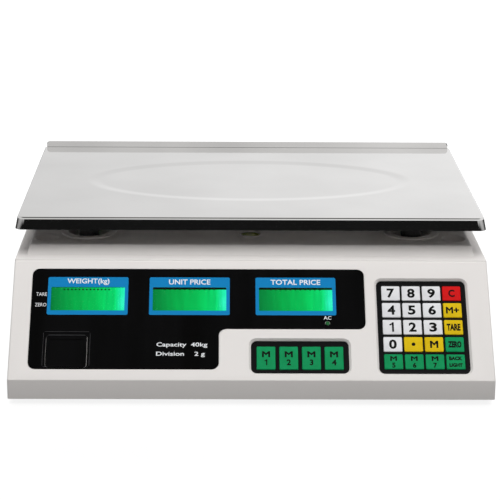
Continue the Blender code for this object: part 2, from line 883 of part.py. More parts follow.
def make_base_tray():
    tray = add(
        "base_tray",
        prism(tray_outline(air_gap), tray_bottom, floor_top + tray_wall_height),
        grey_abs,
    )
    cut(
        tray,
        "hollow",
        prism(tray_outline(air_gap + 0.002), floor_top, floor_top + 2 * tray_wall_height),
    )
    bosses = bmesh.new()
    pocket_top = tray_bottom + foot_pocket_depth
    for _, x, y in foot_places():
        round_bar(
            foot_radius + 0.004, tray_bottom, pocket_top + 0.002, (x, y), sides=32, into=bosses
        )
    weld(tray, "foot_bosses", bosses)
    nuts = bmesh.new()
    for _, x, y in foot_places():
        round_bar(
            nut_boss_radius, pocket_top, pocket_top + nut_boss_height, (x, y), sides=6, into=nuts
        )
    weld(tray, "nut_bosses", nuts)
    columns = bmesh.new()
    column_top = deck_height - well_depth - wall - air_gap
    for place in well_places():
        round_bar(
            column_foot_radius,
            floor_top - 0.001,
            column_top,
            place,
            top_radius=column_top_radius,
            sides=16,
            into=columns,
        )
    weld(tray, "screw_columns", columns)
    pockets = bmesh.new()
    for _, x, y in foot_places():
        round_bar(
            foot_radius + 0.0015, tray_bottom - wall, pocket_top, (x, y), sides=32, into=pockets
        )
    cut(tray, "foot_pockets", pockets)
    bores = bmesh.new()
    for _, x, y in foot_places():
        round_bar(stud_radius + stud_clearance, tray_bottom, pocket_top + 0.02, (x, y), into=bores)
    for place in well_places():
        round_bar(
            pilot_radius, column_top - pilot_depth, column_top + 0.002, place, sides=12, into=bores
        )
    cut(tray, "bores", bores)

    door_x, door_y = battery_centre
    door_depth = tray_floor / 2
    recess = block(
        (door_size[0] + 2 * air_gap, door_size[1] + 2 * air_gap, 2 * door_depth),
        (door_x, door_y, tray_bottom),
    )
    cut(tray, "door_recess", recess)
    cut(
        tray,
        "door_hole",
        block((door_size[0] - 0.010, door_size[1] - 0.010, 0.02), (door_x, door_y, tray_bottom)),
    )
    door_low = (door_x - door_size[0] / 2, door_y - door_size[1] / 2, tray_bottom)
    door_high = (
        door_x + door_size[0] / 2, door_y + door_size[1] / 2, tray_bottom + door_depth - air_gap
    )
    add("battery_door", span(door_low, door_high), grey_abs)


def make_feet():
    """Levelling feet: a rubber-soled disc on a threaded stud that screws up into the tray."""
    for name, x, y in foot_places():
        sole = round_bar(foot_radius - 0.0015, 0, foot_height, top_radius=foot_radius, sides=32)
        foot = add(f"levelling_foot_{name}", sole, black_rubber, place=(x, y, 0))
        weld(
            foot,
            "stud",
            round_bar(stud_radius, foot_height / 2, stud_top, sides=20),
            place=(x, y, 0),
        )


def make_power_parts():
    x, y = battery_centre
    low = floor_top + air_gap
    sizes = Vector(battery_size)
    case = span(
        (x - sizes.x / 2, y - sizes.y / 2, low), (x + sizes.x / 2, y + sizes.y / 2, low + sizes.z)
    )
    bmesh.ops.bevel(case, geom=list(case.edges), offset=battery_edge, segments=1, affect="EDGES")
    battery = add("battery", case, battery_grey)
    tabs = bmesh.new()
    for side in (-1, 1):
        block(
            (0.008, 0.0048, 0.0008),
            (x + sizes.x / 2 + 0.003, y + side * 0.024, low + sizes.z * 0.8),
            tabs,
        )
    weld(battery, "tabs", tabs)

    bx, by = main_board_centre
    sheet_low = floor_top + board_standoff
    main = add(
        "main_board",
        block((*main_board_size, board), (bx, by, sheet_low + board / 2)),
        circuit_board,
    )
    pieces = bmesh.new()
    block((0.014, 0.014, 0.003), (bx - 0.020, by + 0.006, sheet_low + board + 0.001), pieces)
    block((0.024, 0.010, 0.022), (bx + 0.036, by + 0.018, sheet_low + board + 0.010), pieces)
    block((0.020, 0.006, 0.007), (bx - 0.040, by - 0.024, sheet_low + board + 0.003), pieces)
    block((0.020, 0.006, 0.007), (bx - 0.008, by - 0.024, sheet_low + board + 0.003), pieces)
    for step in range(3):
        round_bar(
            0.005,
            sheet_low + board / 2,
            sheet_low + 0.016,
            (bx + 0.012 + step * 0.013, by - 0.018),
            sides=16,
            into=pieces,
        )
    for across in (-1, 1):
        for along in (-1, 1):
            corner = (
                bx + across * (main_board_size[0] / 2 - 0.005),
                by + along * (main_board_size[1] / 2 - 0.005),
            )
            round_bar(
                0.003, floor_top + air_gap, sheet_low + board / 2, corner, sides=12, into=pieces
            )
    weld(main, "components", pieces)

    tx, ty = transformer_centre
    wide, deep, tall = transformer_size
    core = add(
        "transformer", block((wide, deep * 0.55, tall), (tx, ty, low + tall / 2)), core_steel
    )
    weld(core, "winding", block((wide * 0.62, deep, tall * 0.62), (tx, ty, low + tall / 2)))
    weld(core, "strap", block((wide + 0.016, deep * 0.3, 0.0015), (tx, ty, low + 0.00075)))


def make_display(side, face, places, s, outline, names):
    """One display: the film over the housing, the glass behind its windows and the board behind the glass."""
    sheet = add(f"{side}_overlay", prism(outline, -film, 0), black_film, face)
    cut(sheet, "windows", windows(-wall, wall, places, s, 0), face)
    glass_top = -wall - 2 * air_gap
    glass_bottom = glass_top - lcd_thickness
    for name, x_places in names:
        left = min(x_places) - window_width / 2 - lcd_border
        right = max(x_places) + window_width / 2 + lcd_border
        low, high = s - window_height / 2 - lcd_border, s + window_height / 2 + lcd_border
        add(name, span((left, low, glass_bottom), (right, high, glass_top)), green_lcd, face)
    board_low = s - window_height / 2 - 0.007
    board_high = s + window_height / 2 + 0.006
    left, right = places[0] - window_width / 2 - 0.006, places[-1] + window_width / 2 + 0.004
    board_top = glass_bottom - air_gap
    sheet_shape = span((left, board_low, board_top - board), (right, board_high, board_top))
    return sheet, add(f"{side}_display_board", sheet_shape, circuit_board, face)


def make_displays():
    front_names = [(name, [x]) for name, x in zip(lcd_names, window_x)]
    sheet, display_board = make_display(
        "front", panel, window_x, window_s, film_outline(), front_names
    )
    badge_room = rectangle(badge_width + 2 * air_gap, badge_height + 2 * air_gap, badge_x, badge_s)
    cut(sheet, "badge_room", prism(rounded(badge_room, 0.002), -wall, wall), panel)
    cut(
        sheet,
        "led_room",
        round_bar(led_radius + air_gap, -wall, wall, (led_x, led_s), sides=12),
        panel,
    )
    badge_edge = rounded(rectangle(badge_width, badge_height, badge_x, badge_s), 0.002)
    badge = add("blank_badge", prism(badge_edge, -film, 0.0007), black_plastic, panel)
    inner = rounded(
        rectangle(badge_width - 0.004, badge_height - 0.0045, badge_x, badge_s - 0.0005), 0.0015
    )
    cut(badge, "field", prism(inner, 0.0002, 0.002), panel)
    glass_bottom = -wall - 2 * air_gap - lcd_thickness
    ear = span(
        (led_x - 0.006, led_s - 0.004, glass_bottom - air_gap - board),
        (led_x + 0.006, led_s + 0.006, glass_bottom - air_gap),
    )
    weld(display_board, "led_ear", ear, panel)
    lamp = round_bar(led_radius, glass_bottom - 2 * air_gap, -film, (led_x, led_s), sides=12)
    weld(display_board, "led", lamp, panel)
    make_display(
        "rear",
        rear_face,
        rear_windows,
        rear_window_s,
        rear_film_outline(),
        [("lcd_customer", rear_windows)],
    )


def key_shape(width, height):
    """A key cap with soft upper edges and a flange that keeps it under the bezel. The panel is z = 0."""
    bottom = -bezel_sink - bezel_thickness - air_gap
    shape = span((-width / 2, -height / 2, bottom), (width / 2, height / 2, key_rise))
    rim = [edge for edge in shape.edges if any(end.co.z > bottom + 1e-6 for end in edge.verts)]
    bmesh.ops.bevel(shape, geom=rim, offset=key_edge, segments=2, profile=0.5, affect="EDGES")
    base = min(shape.faces, key=lambda face: face.calc_center_median().z)
    for grow, drop in ((key_clearance + key_flange, 0), (0, key_flange_thickness)):
        made = bmesh.ops.extrude_face_region(shape, geom=[base])["geom"]
        if base.is_valid:
            bmesh.ops.delete(shape, geom=[base], context="FACES_ONLY")
        base = next(item for item in made if isinstance(item, bmesh.types.BMFace))
        size = (1 + 2 * grow / width, 1 + 2 * grow / height, 1)
        bmesh.ops.scale(shape, vec=size, verts=list(base.verts))
        bmesh.ops.translate(shape, vec=(0, 0, -drop), verts=list(base.verts))
    return shape


def key_places(keys, pitch_x, pitch_s, x, s):
    """(name, x, s) of each key, row by row from the top."""
    for row, names in enumerate(keys):
        for column, name in enumerate(names):
            across = (column - (len(names) - 1) / 2) * pitch_x
            up = ((len(keys) - 1) / 2 - row) * pitch_s
            yield name, x + across, s + up


def make_keypad(name, keys, size, pitch, centre, outline, lip_outline):
    width, height = size
    bezel = add(
        f"{name}_bezel",
        prism(outline, -bezel_sink - bezel_thickness, -bezel_sink),
        black_plastic,
        panel,
    )
    lip_top = -wall - air_gap
    weld(bezel, "lip", prism(lip_outline, -bezel_sink - bezel_thickness + 0.0001, lip_top), panel)
    places = list(key_places(keys, *pitch, *centre))
    holes = bmesh.new()
    for _, x, s in places:
        block(
            (width + 2 * key_clearance, height + 2 * key_clearance, 4 * bezel_thickness),
            (x, s, 0),
            holes,
        )
    cut(bezel, "holes", holes, panel)
    for key, x, s in places:
        add(
            f"key_{key}",
            key_shape(width, height),
            key_colours.get(key, key_white),
            panel,
            (x, s, 0),
        )
    return places


def pad_sheet(spread, low, high):
    """An L-shaped sheet that reaches under both groups of keys."""
    right = number_pad_x + number_pad_width / 2 + spread
    inner = number_pad_x - number_pad_width / 2 - spread
    left = memory_pad_x - memory_pad_width / 2 - spread
    bottom = memory_pad_s - memory_pad_height / 2 - spread
    top = number_pad_s + number_pad_height / 2 + spread
    step = memory_pad_s + memory_pad_height / 2 + spread
    return prism(
        [(left, bottom), (right, bottom), (right, top), (inner, top), (inner, step), (left, step)],
        low,
        high,
    )


def make_keypads():
    places = make_keypad(
        "number_pad",
        number_keys,
        (number_key_width, number_key_height),
        (number_pitch_x, number_pitch_s),
        (number_pad_x, number_pad_s),
        number_outline(),
        number_outline(bezel_lip),
    )
    places += make_keypad(
        "memory_pad",
        memory_keys,
        (memory_key_width, memory_key_height),
        (memory_pitch_x, 0),
        (memory_pad_x, memory_pad_s),
        memory_outline(),
        memory_outline(bezel_lip),
    )
    key_bottom = -bezel_sink - bezel_thickness - air_gap - key_flange_thickness
    bump_top = key_bottom - key_travel - air_gap
    mat_top = bump_top - mat_bump
    mat = add("keypad_mat", pad_sheet(0.001, mat_top - mat_thickness, mat_top), black_rubber, panel)
    bumps = bmesh.new()
    for _, x, s in places:
        block((0.006, 0.006, 2 * mat_bump), (x, s, mat_top), bumps)
    weld(mat, "bumps", bumps, panel)
    board_top = mat_top - mat_thickness - air_gap
    add("keypad_board", pad_sheet(0.0015, board_top - board, board_top), circuit_board, panel)


def make_spirit_level():
    top = deck_height - air_gap
    place = (0, deck_front + level_inset, 0)
    level = add(
        "spirit_level",
        round_bar(level_radius, top - level_height + 0.002, top, sides=32),
        level_fluid,
        place=place,
    )
    cut(
        level,
        "rim",
        round_bar(level_radius - 0.0015, top - 0.0006, top + 0.002, sides=32),
        place=place,
    )


def make_switch_and_inlet():
    """Both stand in the side recess. In the side face's axes x runs to the rear, y is up and z points out."""
    place = (switch_y - recess_centre[0], 0, 0)
    neck = (switch_size[0] - 0.002, switch_size[1] - 0.002)
    switch = add(
        "switch_body",
        block((*switch_size, switch_flange), (0, 0, air_gap + switch_flange / 2)),
        black_plastic,
        side_face,
        place,
    )
    weld(
        switch,
        "neck",
        block((*neck, switch_depth), (0, 0, -switch_depth / 2 + air_gap + 0.0005)),
        side_face,
        place,
    )
    terminals = bmesh.new()
    for step in (-1, 1):
        block((0.0008, 0.0048, 0.010), (step * 0.0045, 0, -switch_depth - 0.003), terminals)
    weld(switch, "terminals", terminals, side_face, place)
    room = (rocker_size[0] + 2 * air_gap, rocker_size[1] + 2 * air_gap, 0.014)
    cut(switch, "room", block(room, (0, 0, -0.005)), side_face, place)

    half, pivot_depth = rocker_size[0] / 2, 0.002
    rise = half * math.sin(rocker_tilt)
    top = pivot_depth + switch_flange + air_gap
    profile = [
        (-half + 0.0006, -0.0035),
        (half - 0.0006, -0.0035),
        (half - 0.0003, top - rise),
        (0, top),
        (-half + 0.0003, top - rise),
    ]
    rocker_solid = prism(profile, -rocker_size[1] / 2, rocker_size[1] / 2)
    bmesh.ops.rotate(rocker_solid, cent=(0, 0, 0), matrix=body_turn(), verts=rocker_solid.verts)
    rocker = add(
        "switch_rocker", rocker_solid, black_plastic, side_face, (place[0], 0, -pivot_depth)
    )
    rocker.rotation_euler.y = rocker_tilt

    place = (inlet_y - recess_centre[0], 0, 0)
    neck = (inlet_size[0] - 0.002, inlet_size[1] - 0.002)
    inlet = add(
        "mains_inlet",
        block((*inlet_size, switch_flange), (0, 0, air_gap + switch_flange / 2)),
        black_plastic,
        side_face,
        place,
    )
    weld(
        inlet,
        "neck",
        block((*neck, inlet_depth), (0, 0, -inlet_depth / 2 + air_gap + 0.0005)),
        side_face,
        place,
    )
    mouth = prism(
        rounded(rectangle(*inlet_mouth), inlet_mouth[1] / 2 - 0.0001), -inlet_depth + 0.003, wall
    )
    cut(inlet, "mouth", mouth, side_face, place)
    pins = bmesh.new()
    for step in (-1, 1):
        round_bar(
            inlet_pin_radius,
            -inlet_depth + 0.001,
            -0.003,
            (step * inlet_pin_pitch / 2, 0),
            sides=12,
            into=pins,
        )
    weld(inlet, "pins", pins, side_face, place)


make_top_cover()
make_pan()
make_platform()
make_load_cell()
make_chassis()
make_base_tray()
make_feet()
make_power_parts()
make_displays()
make_keypads()
make_spirit_level()
make_switch_and_inlet()
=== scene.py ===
import math

import bmesh
import bpy
from mathutils import Matrix, Vector


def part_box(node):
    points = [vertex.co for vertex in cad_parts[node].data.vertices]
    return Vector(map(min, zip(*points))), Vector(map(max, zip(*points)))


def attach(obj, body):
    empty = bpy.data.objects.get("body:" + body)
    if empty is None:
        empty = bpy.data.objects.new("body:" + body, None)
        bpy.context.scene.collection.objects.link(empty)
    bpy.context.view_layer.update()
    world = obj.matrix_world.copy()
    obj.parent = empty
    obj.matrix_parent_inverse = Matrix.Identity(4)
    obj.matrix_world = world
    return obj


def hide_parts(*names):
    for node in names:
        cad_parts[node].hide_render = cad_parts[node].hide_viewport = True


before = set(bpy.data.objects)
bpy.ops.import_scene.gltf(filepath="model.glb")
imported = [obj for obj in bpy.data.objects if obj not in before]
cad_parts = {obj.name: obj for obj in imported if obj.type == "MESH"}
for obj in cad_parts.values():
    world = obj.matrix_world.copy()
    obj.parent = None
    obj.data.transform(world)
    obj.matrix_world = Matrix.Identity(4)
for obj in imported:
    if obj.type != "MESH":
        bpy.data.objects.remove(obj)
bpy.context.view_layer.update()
scene = bpy.context.scene
print("frame loaded:", len(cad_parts), "nodes")


# Small helpers

def linear(hexColour):
    # an sRGB hex value as the linear colour that a shader takes
    parts = [int(hexColour[i:i + 2], 16) / 255 for i in (0, 2, 4)]
    return [c / 12.92 if c <= 0.04045 else ((c + 0.055) / 1.055) ** 2.4 for c in parts] + [1.0]


def outputOf(node):
    # a node's first output in use
    return next(output for output in node.outputs if output.enabled)


def plug(node, target, socket):
    node.id_data.links.new(outputOf(node), target.inputs[socket])


def addNode(tree, kind, sockets=None, **settings):
    # adds a node; a socket's value is a constant, or the node or output to link from
    node = tree.nodes.new("ShaderNode" + kind)
    for name, value in settings.items():
        setattr(node, name, value)
    for name, value in (sockets or {}).items():
        if isinstance(value, bpy.types.Node):
            plug(value, node, name)
        elif isinstance(value, bpy.types.NodeSocket):
            tree.links.new(value, node.inputs[name])
        else:
            node.inputs[name].default_value = value
    return node


def newMaterial(name, **constants):
    # a Principled material, its constant sockets set, and the piece's Object coordinates
    material = bpy.data.materials.new(name)
    material.use_nodes = True
    tree = material.node_tree
    shader = tree.nodes["Principled BSDF"]
    for socket, value in constants.items():
        shader.inputs[socket.replace("_", " ")].default_value = value
    coords = addNode(tree, "TexCoord")
    return material, tree, shader, coords.outputs["Object"]


def rampStops(ramp, stops):
    # stops is a list of (position, colour); the ramp's own two stops are used first
    elements = ramp.color_ramp.elements
    while len(elements) < len(stops):
        elements.new(0.5)
    for element, (position, colour) in zip(elements, stops):
        element.position = position
        element.color = colour
    return ramp


def perMm(size):
    # a noise or wave scale whose features are about this many millimetres across
    return 1000 / size


def finishPiece(name, bm, material, body, replaced=(), smooth=30):
    # makes the piece, at the origin with its place in its mesh, and lets it ride
    mesh = bpy.data.meshes.new(name)
    bm.to_mesh(mesh)
    bm.free()
    piece = bpy.data.objects.new(name, mesh)
    scene.collection.objects.link(piece)
    mesh.materials.append(material)
    if smooth:
        mesh.shade_smooth()
        mesh.set_sharp_from_angle(angle=math.radians(smooth))
    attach(piece, body)
    if replaced:
        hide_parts(*replaced)
    return piece


def bake(piece):
    # the piece's modifiers become its mesh
    evaluated = piece.evaluated_get(bpy.context.evaluated_depsgraph_get())
    mesh = bpy.data.meshes.new_from_object(evaluated)
    piece.modifiers.clear()
    piece.data = mesh
    return piece


def loose(name, bm):
    # an object that only cuts or joins, and is removed afterwards
    mesh = bpy.data.meshes.new(name)
    bm.to_mesh(mesh)
    bm.free()
    piece = bpy.data.objects.new(name, mesh)
    scene.collection.objects.link(piece)
    return piece


def combine(piece, others, operation):
    # Booleans with loose objects, baked
    for other in others:
        modifier = piece.modifiers.new(other.name, "BOOLEAN")
        modifier.object = other
        modifier.operation = operation
        modifier.solver = "MANIFOLD"
    bpy.context.view_layer.update()
    bake(piece)
    for other in others:
        bpy.data.objects.remove(other)
    return piece


def roundEdges(bm, edges, width, segments=2):
    bmesh.ops.bevel(bm, geom=list(edges), offset=width, offset_type="OFFSET", segments=segments,
                    profile=0.5, affect="EDGES", material=-1, clamp_overlap=True)
    return bm


def sharpEdges(bm, wanted=lambda edge: True, least=20):
    return [e for e in bm.edges if e.calc_face_angle(0) > math.radians(least) and wanted(e)]


def box(size, centre=(0, 0, 0), edge=0, segments=2):
    # a box with softened edges
    bm = bmesh.new()
    bmesh.ops.create_cube(bm, size=1)
    bmesh.ops.scale(bm, vec=size, verts=bm.verts)
    bmesh.ops.translate(bm, vec=centre, verts=bm.verts)
    if edge:
        roundEdges(bm, bm.edges, edge, segments)
    return bm


def plate(width, height, low, high, corner, centre=(0, 0), edge=0, cornerSteps=6, both=False):
    # a flat plate with round corners, and softened upper (and lower) edges
    bm = box((width, height, high - low), (centre[0], centre[1], (low + high) / 2))
    upright = [e for e in bm.edges if abs(e.verts[0].co.z - e.verts[1].co.z) > 1e-7]
    roundEdges(bm, upright, corner, cornerSteps)
    if edge:
        rims = [e for e in bm.edges if all(abs(v.co.z - high) < 1e-7 or (both and abs(v.co.z - low) < 1e-7)
                                          for v in e.verts) and abs(e.verts[0].co.z - e.verts[1].co.z) < 1e-7]
        roundEdges(bm, rims, edge, 3)
    return bm


def turned(profile, steps=48, centre=(0, 0)):
    # a closed profile of (radius, height) points spun about an upright axis
    bm = bmesh.new()
    verts = [bm.verts.new((r, 0, z)) for r, z in profile]
    edges = [bm.edges.new((a, b)) for a, b in zip(verts, verts[1:])]
    if profile[0][0] > 1e-6 and profile[-1][0] > 1e-6:
        edges.append(bm.edges.new((verts[-1], verts[0])))
    bmesh.ops.spin(bm, geom=verts + edges, cent=(0, 0, 0), axis=(0, 0, 1), angle=2 * math.pi,
                   steps=steps, use_merge=True)
    bmesh.ops.remove_doubles(bm, verts=bm.verts, dist=1e-7)
    bmesh.ops.recalc_face_normals(bm, faces=bm.faces)
    bmesh.ops.translate(bm, vec=(*centre, 0), verts=bm.verts)
    return bm


def arc(centre, radius, start, end, steps=4):
    # points of a round stretch of a profile, angles in degrees
    angles = [math.radians(start + (end - start) * i / steps) for i in range(steps + 1)]
    return [(centre[0] + radius * math.cos(a), centre[1] + radius * math.sin(a)) for a in angles]


def gather(shapes):
    # several bmeshes as one
    joined = bmesh.new()
    for shape in shapes:
        mesh = bpy.data.meshes.new("gathered")
        shape.to_mesh(mesh)
        shape.free()
        joined.from_mesh(mesh)
        bpy.data.meshes.remove(mesh)
    return joined


def placed(bm, place):
    bmesh.ops.transform(bm, matrix=place, verts=bm.verts)
    return bm


def lettering(text, height, centre, width=None, weight=0.0, depth=0.00004):
    # letters as a thin raised print; height is that of the capitals, width squeezes or spreads the line
    curve = bpy.data.curves.new("lettering", "FONT")
    curve.body = text
    curve.align_x = "CENTER"
    curve.extrude = 0.02
    curve.bevel_depth = weight  # fattens the strokes
    curve.bevel_resolution = 0
    curve.resolution_u = 3
    holder = bpy.data.objects.new("lettering", curve)
    scene.collection.objects.link(holder)
    bpy.context.view_layer.update()
    mesh = bpy.data.meshes.new_from_object(holder.evaluated_get(bpy.context.evaluated_depsgraph_get()))
    bpy.data.objects.remove(holder)
    bm = bmesh.new()
    bm.from_mesh(mesh)
    bpy.data.meshes.remove(mesh)
    low = [min(v.co[i] for v in bm.verts) for i in range(3)]
    high = [max(v.co[i] for v in bm.verts) for i in range(3)]
    across = width / (high[0] - low[0]) if width else height / (high[1] - low[1])
    middle = [(a + b) / 2 for a, b in zip(low, high)]
    bmesh.ops.translate(bm, vec=(-middle[0], -middle[1], -low[2]), verts=bm.verts)
    bmesh.ops.scale(bm, vec=(across, height / (high[1] - low[1]), depth / (high[2] - low[2])), verts=bm.verts)
    bmesh.ops.translate(bm, vec=(centre[0], centre[1], centre[2] if len(centre) > 2 else 0), verts=bm.verts)
    return bm


# Materials, each named for what it is and how it was made

def mouldedAbs(name, colour, shade, roughness, grain=0.35, gloss=0.5):
    # Injection moulded ABS, fine spark-eroded mould texture: an even satin skin with soft, slightly
    # broken gloss. The 0.35 mm grain is drawn coarser than the real 0.05 mm one, so that it shows.
    material, tree, shader, place = newMaterial(name, IOR=1.53, Specular_IOR_Level=gloss)
    clouds = addNode(tree, "TexNoise", {"Vector": place, "Scale": perMm(60), "Detail": 3.0})
    tint = addNode(tree, "Mix", {"Factor": clouds}, data_type="RGBA")
    tint.inputs["A"].default_value = linear(colour)
    tint.inputs["B"].default_value = linear(shade)
    plug(tint, shader, "Base Color")
    polish = addNode(tree, "MapRange",
                     {"Value": clouds, "To Min": roughness - 0.05, "To Max": roughness + 0.06})
    plug(polish, shader, "Roughness")
    spark = addNode(tree, "TexNoise", {"Vector": place, "Scale": perMm(grain), "Detail": 2.0})
    skin = addNode(tree, "Bump", {"Height": spark, "Strength": 0.05, "Distance": 0.00004})
    plug(skin, shader, "Normal")
    return material


def printedFilm():
    # Black printed polycarbonate film, 0.5 mm, glossy: nearly black with a clear reflection, a faint
    # orange-peel ripple about 9 mm long and a few wiped streaks that dull the gloss.
    material, tree, shader, place = newMaterial("printed_polycarbonate_film", IOR=1.5,
                                                Specular_IOR_Level=0.22)
    ripple = addNode(tree, "TexNoise", {"Vector": place, "Scale": perMm(9), "Detail": 1.0})
    wave = addNode(tree, "Bump", {"Height": ripple, "Strength": 0.08, "Distance": 0.0002})
    plug(wave, shader, "Normal")
    wiped = addNode(tree, "Mapping", {"Vector": place, "Scale": (1.0, 0.15, 0.15)})
    streaks = addNode(tree, "TexNoise", {"Vector": wiped, "Scale": perMm(14), "Detail": 4.0})
    gloss = addNode(tree, "MapRange",
                    {"Value": streaks, "From Min": 0.35, "From Max": 0.75, "To Min": 0.07, "To Max": 0.16})
    plug(gloss, shader, "Roughness")
    ink = rampStops(addNode(tree, "ValToRGB", {"Fac": streaks}),
                    [(0.3, linear("080808")), (0.8, linear("0E0E0F"))])
    plug(ink, shader, "Base Color")
    return material


def polishedSteel():
    # Stainless steel sheet, cold rolled and polished to a mirror: a hard reflection, very slightly waved
    # by the pressing, with hair scratches a few hundredths wide, drawn 0.25 mm wide so that they show.
    material, tree, shader, place = newMaterial("polished_stainless_sheet", Metallic=1.0)
    tone = addNode(tree, "TexNoise", {"Vector": place, "Scale": perMm(80), "Detail": 2.0})
    steel = rampStops(addNode(tree, "ValToRGB", {"Fac": tone}),
                      [(0.3, linear("E4E3E2")), (0.7, linear("DAD9D8"))])
    plug(steel, shader, "Base Color")
    along = addNode(tree, "Mapping", {"Vector": place, "Scale": (0.04, 1.0, 1.0)})
    hairs = addNode(tree, "TexNoise", {"Vector": along, "Scale": perMm(0.5), "Detail": 3.0})
    brushed = addNode(tree, "MapRange",
                      {"Value": hairs, "From Min": 0.3, "From Max": 0.8, "To Min": 0.045, "To Max": 0.10})
    plug(brushed, shader, "Roughness")
    press = addNode(tree, "TexNoise", {"Vector": place, "Scale": perMm(55), "Detail": 1.0})
    waves = addNode(tree, "Bump", {"Height": press, "Strength": 0.10, "Distance": 0.0012})
    plug(waves, shader, "Normal")
    return material


def castAluminium(name, colour, roughness):
    # Die cast aluminium alloy, shot blasted: a dull, finely pitted silver grey.
    material, tree, shader, place = newMaterial(name, Metallic=1.0)
    pits = addNode(tree, "TexNoise", {"Vector": place, "Scale": perMm(0.8), "Detail": 4.0})
    tone = rampStops(addNode(tree, "ValToRGB", {"Fac": pits}),
                     [(0.3, linear(colour)), (0.75, linear("D4D6D8"))])
    plug(tone, shader, "Base Color")
    blast = addNode(tree, "MapRange", {"Value": pits, "To Min": roughness - 0.08, "To Max": roughness + 0.1})
    plug(blast, shader, "Roughness")
    skin = addNode(tree, "Bump", {"Height": pits, "Strength": 0.25, "Distance": 0.0001})
    plug(skin, shader, "Normal")
    return material


def zincSheet():
    # Zinc plated mild steel, passivated: cool grey with a patchy blue-yellow bloom about 12 mm across.
    material, tree, shader, place = newMaterial("zinc_plated_sheet", Metallic=1.0)
    bloom = addNode(tree, "TexNoise", {"Vector": place, "Scale": perMm(12), "Detail": 3.0})
    tone = rampStops(addNode(tree, "ValToRGB", {"Fac": bloom}),
                     [(0.35, linear("AEB4BA")), (0.55, linear("BFC0BE")), (0.75, linear("C4C0AC"))])
    plug(tone, shader, "Base Color")
    dull = addNode(tree, "MapRange", {"Value": bloom, "To Min": 0.28, "To Max": 0.45})
    plug(dull, shader, "Roughness")
    return material


def mouldedRubber():
    # Compression moulded nitrile rubber: matt black with a dusty bloom.
    material, tree, shader, place = newMaterial("moulded_rubber", IOR=1.52, Sheen_Weight=0.15)
    dust = addNode(tree, "TexNoise", {"Vector": place, "Scale": perMm(5), "Detail": 4.0})
    tone = rampStops(addNode(tree, "ValToRGB", {"Fac": dust}),
                     [(0.35, linear("141414")), (0.8, linear("262625"))])
    plug(tone, shader, "Base Color")
    matt = addNode(tree, "MapRange", {"Value": dust, "To Min": 0.55, "To Max": 0.8})
    plug(matt, shader, "Roughness")
    return material


def keyPlastic(name, colour, shade):
    # Double-shot moulded ABS key cap: clean satin plastic, a little darker and duller where fingers
    # polish it.
    material, tree, shader, place = newMaterial(name, IOR=1.53, Specular_IOR_Level=0.12)
    wear = addNode(tree, "TexNoise", {"Vector": place, "Scale": perMm(7), "Detail": 2.0})
    tone = rampStops(addNode(tree, "ValToRGB", {"Fac": wear}),
                     [(0.35, linear(colour)), (0.75, linear(shade))])
    plug(tone, shader, "Base Color")
    satin = addNode(tree, "MapRange", {"Value": wear, "To Min": 0.28, "To Max": 0.42})
    plug(satin, shader, "Roughness")
    fine = addNode(tree, "TexNoise", {"Vector": place, "Scale": perMm(0.3), "Detail": 1.0})
    skin = addNode(tree, "Bump", {"Height": fine, "Strength": 0.04, "Distance": 0.00003})
    plug(skin, shader, "Normal")
    return material


def screenInk(name, colour, shade, roughness=0.4):
    # Screen-printed ink: flat and even, thinner in specks where the mesh left it, 0.4 mm across.
    material, tree, shader, place = newMaterial(name, IOR=1.5, Specular_IOR_Level=0.12)
    specks = addNode(tree, "TexNoise", {"Vector": place, "Scale": perMm(0.4), "Detail": 2.0})
    tone = rampStops(addNode(tree, "ValToRGB", {"Fac": specks}),
                     [(0.4, linear(colour)), (0.8, linear(shade))])
    plug(tone, shader, "Base Color")
    dull = addNode(tree, "MapRange", {"Value": specks, "To Min": roughness - 0.06,
                                      "To Max": roughness + 0.08})
    plug(dull, shader, "Roughness")
    return material


def backlitLcd():
    # Liquid crystal glass over an edge-lit green backlight: dim at the left, the lamp's bright cyan spot
    # at the right, and faint upright bands from the light guide. The piece's UV map runs 0 to 1 across
    # the window.
    material, tree, shader, place = newMaterial("backlit_liquid_crystal", IOR=1.5, Roughness=0.12,
                                                Specular_IOR_Level=0.08)
    uv = addNode(tree, "UVMap", uv_map="window")
    split = addNode(tree, "SeparateXYZ", {"Vector": uv})
    across = rampStops(addNode(tree, "ValToRGB", {"Fac": split.outputs["X"]}), [(0.0, linear("00803A")),
                                                                                (0.30, linear("00A848")),
                                                                                (0.62, linear("00C458")),
                                                                                (0.86, linear("02DC70")),
                                                                                (1.0, linear("28FCC4"))])
    bandPlace = addNode(tree, "Mapping", {"Vector": uv, "Scale": (26.0, 0.7, 1.0)})
    bands = addNode(tree, "TexNoise", {"Vector": bandPlace, "Scale": 1.0, "Detail": 2.0})
    bandGain = addNode(tree, "MapRange",
                       {"Value": bands, "From Min": 0.3, "From Max": 0.7, "To Min": 0.86, "To Max": 1.12})
    lampPlace = addNode(tree, "Mapping",
                        {"Vector": uv, "Location": (-7.6, -1.05, 0.0), "Scale": (7.4, 2.5, 1.0)})
    lampSpot = addNode(tree, "TexGradient", {"Vector": lampPlace}, gradient_type="SPHERICAL")
    lit = addNode(tree, "Mix", {"Factor": lampSpot.outputs["Fac"]}, data_type="RGBA", blend_type="MIX")
    plug(across, lit, "A")
    lit.inputs["B"].default_value = linear("3CFFD4")
    glow = addNode(tree, "VectorMath", {"Scale": bandGain}, operation="SCALE")
    tree.links.new(lit.outputs["Result"], glow.inputs[0])
    plug(glow, shader, "Emission Color")
    shader.inputs["Emission Strength"].default_value = 1.08
    shader.inputs["Base Color"].default_value = linear("052A14")
    return material


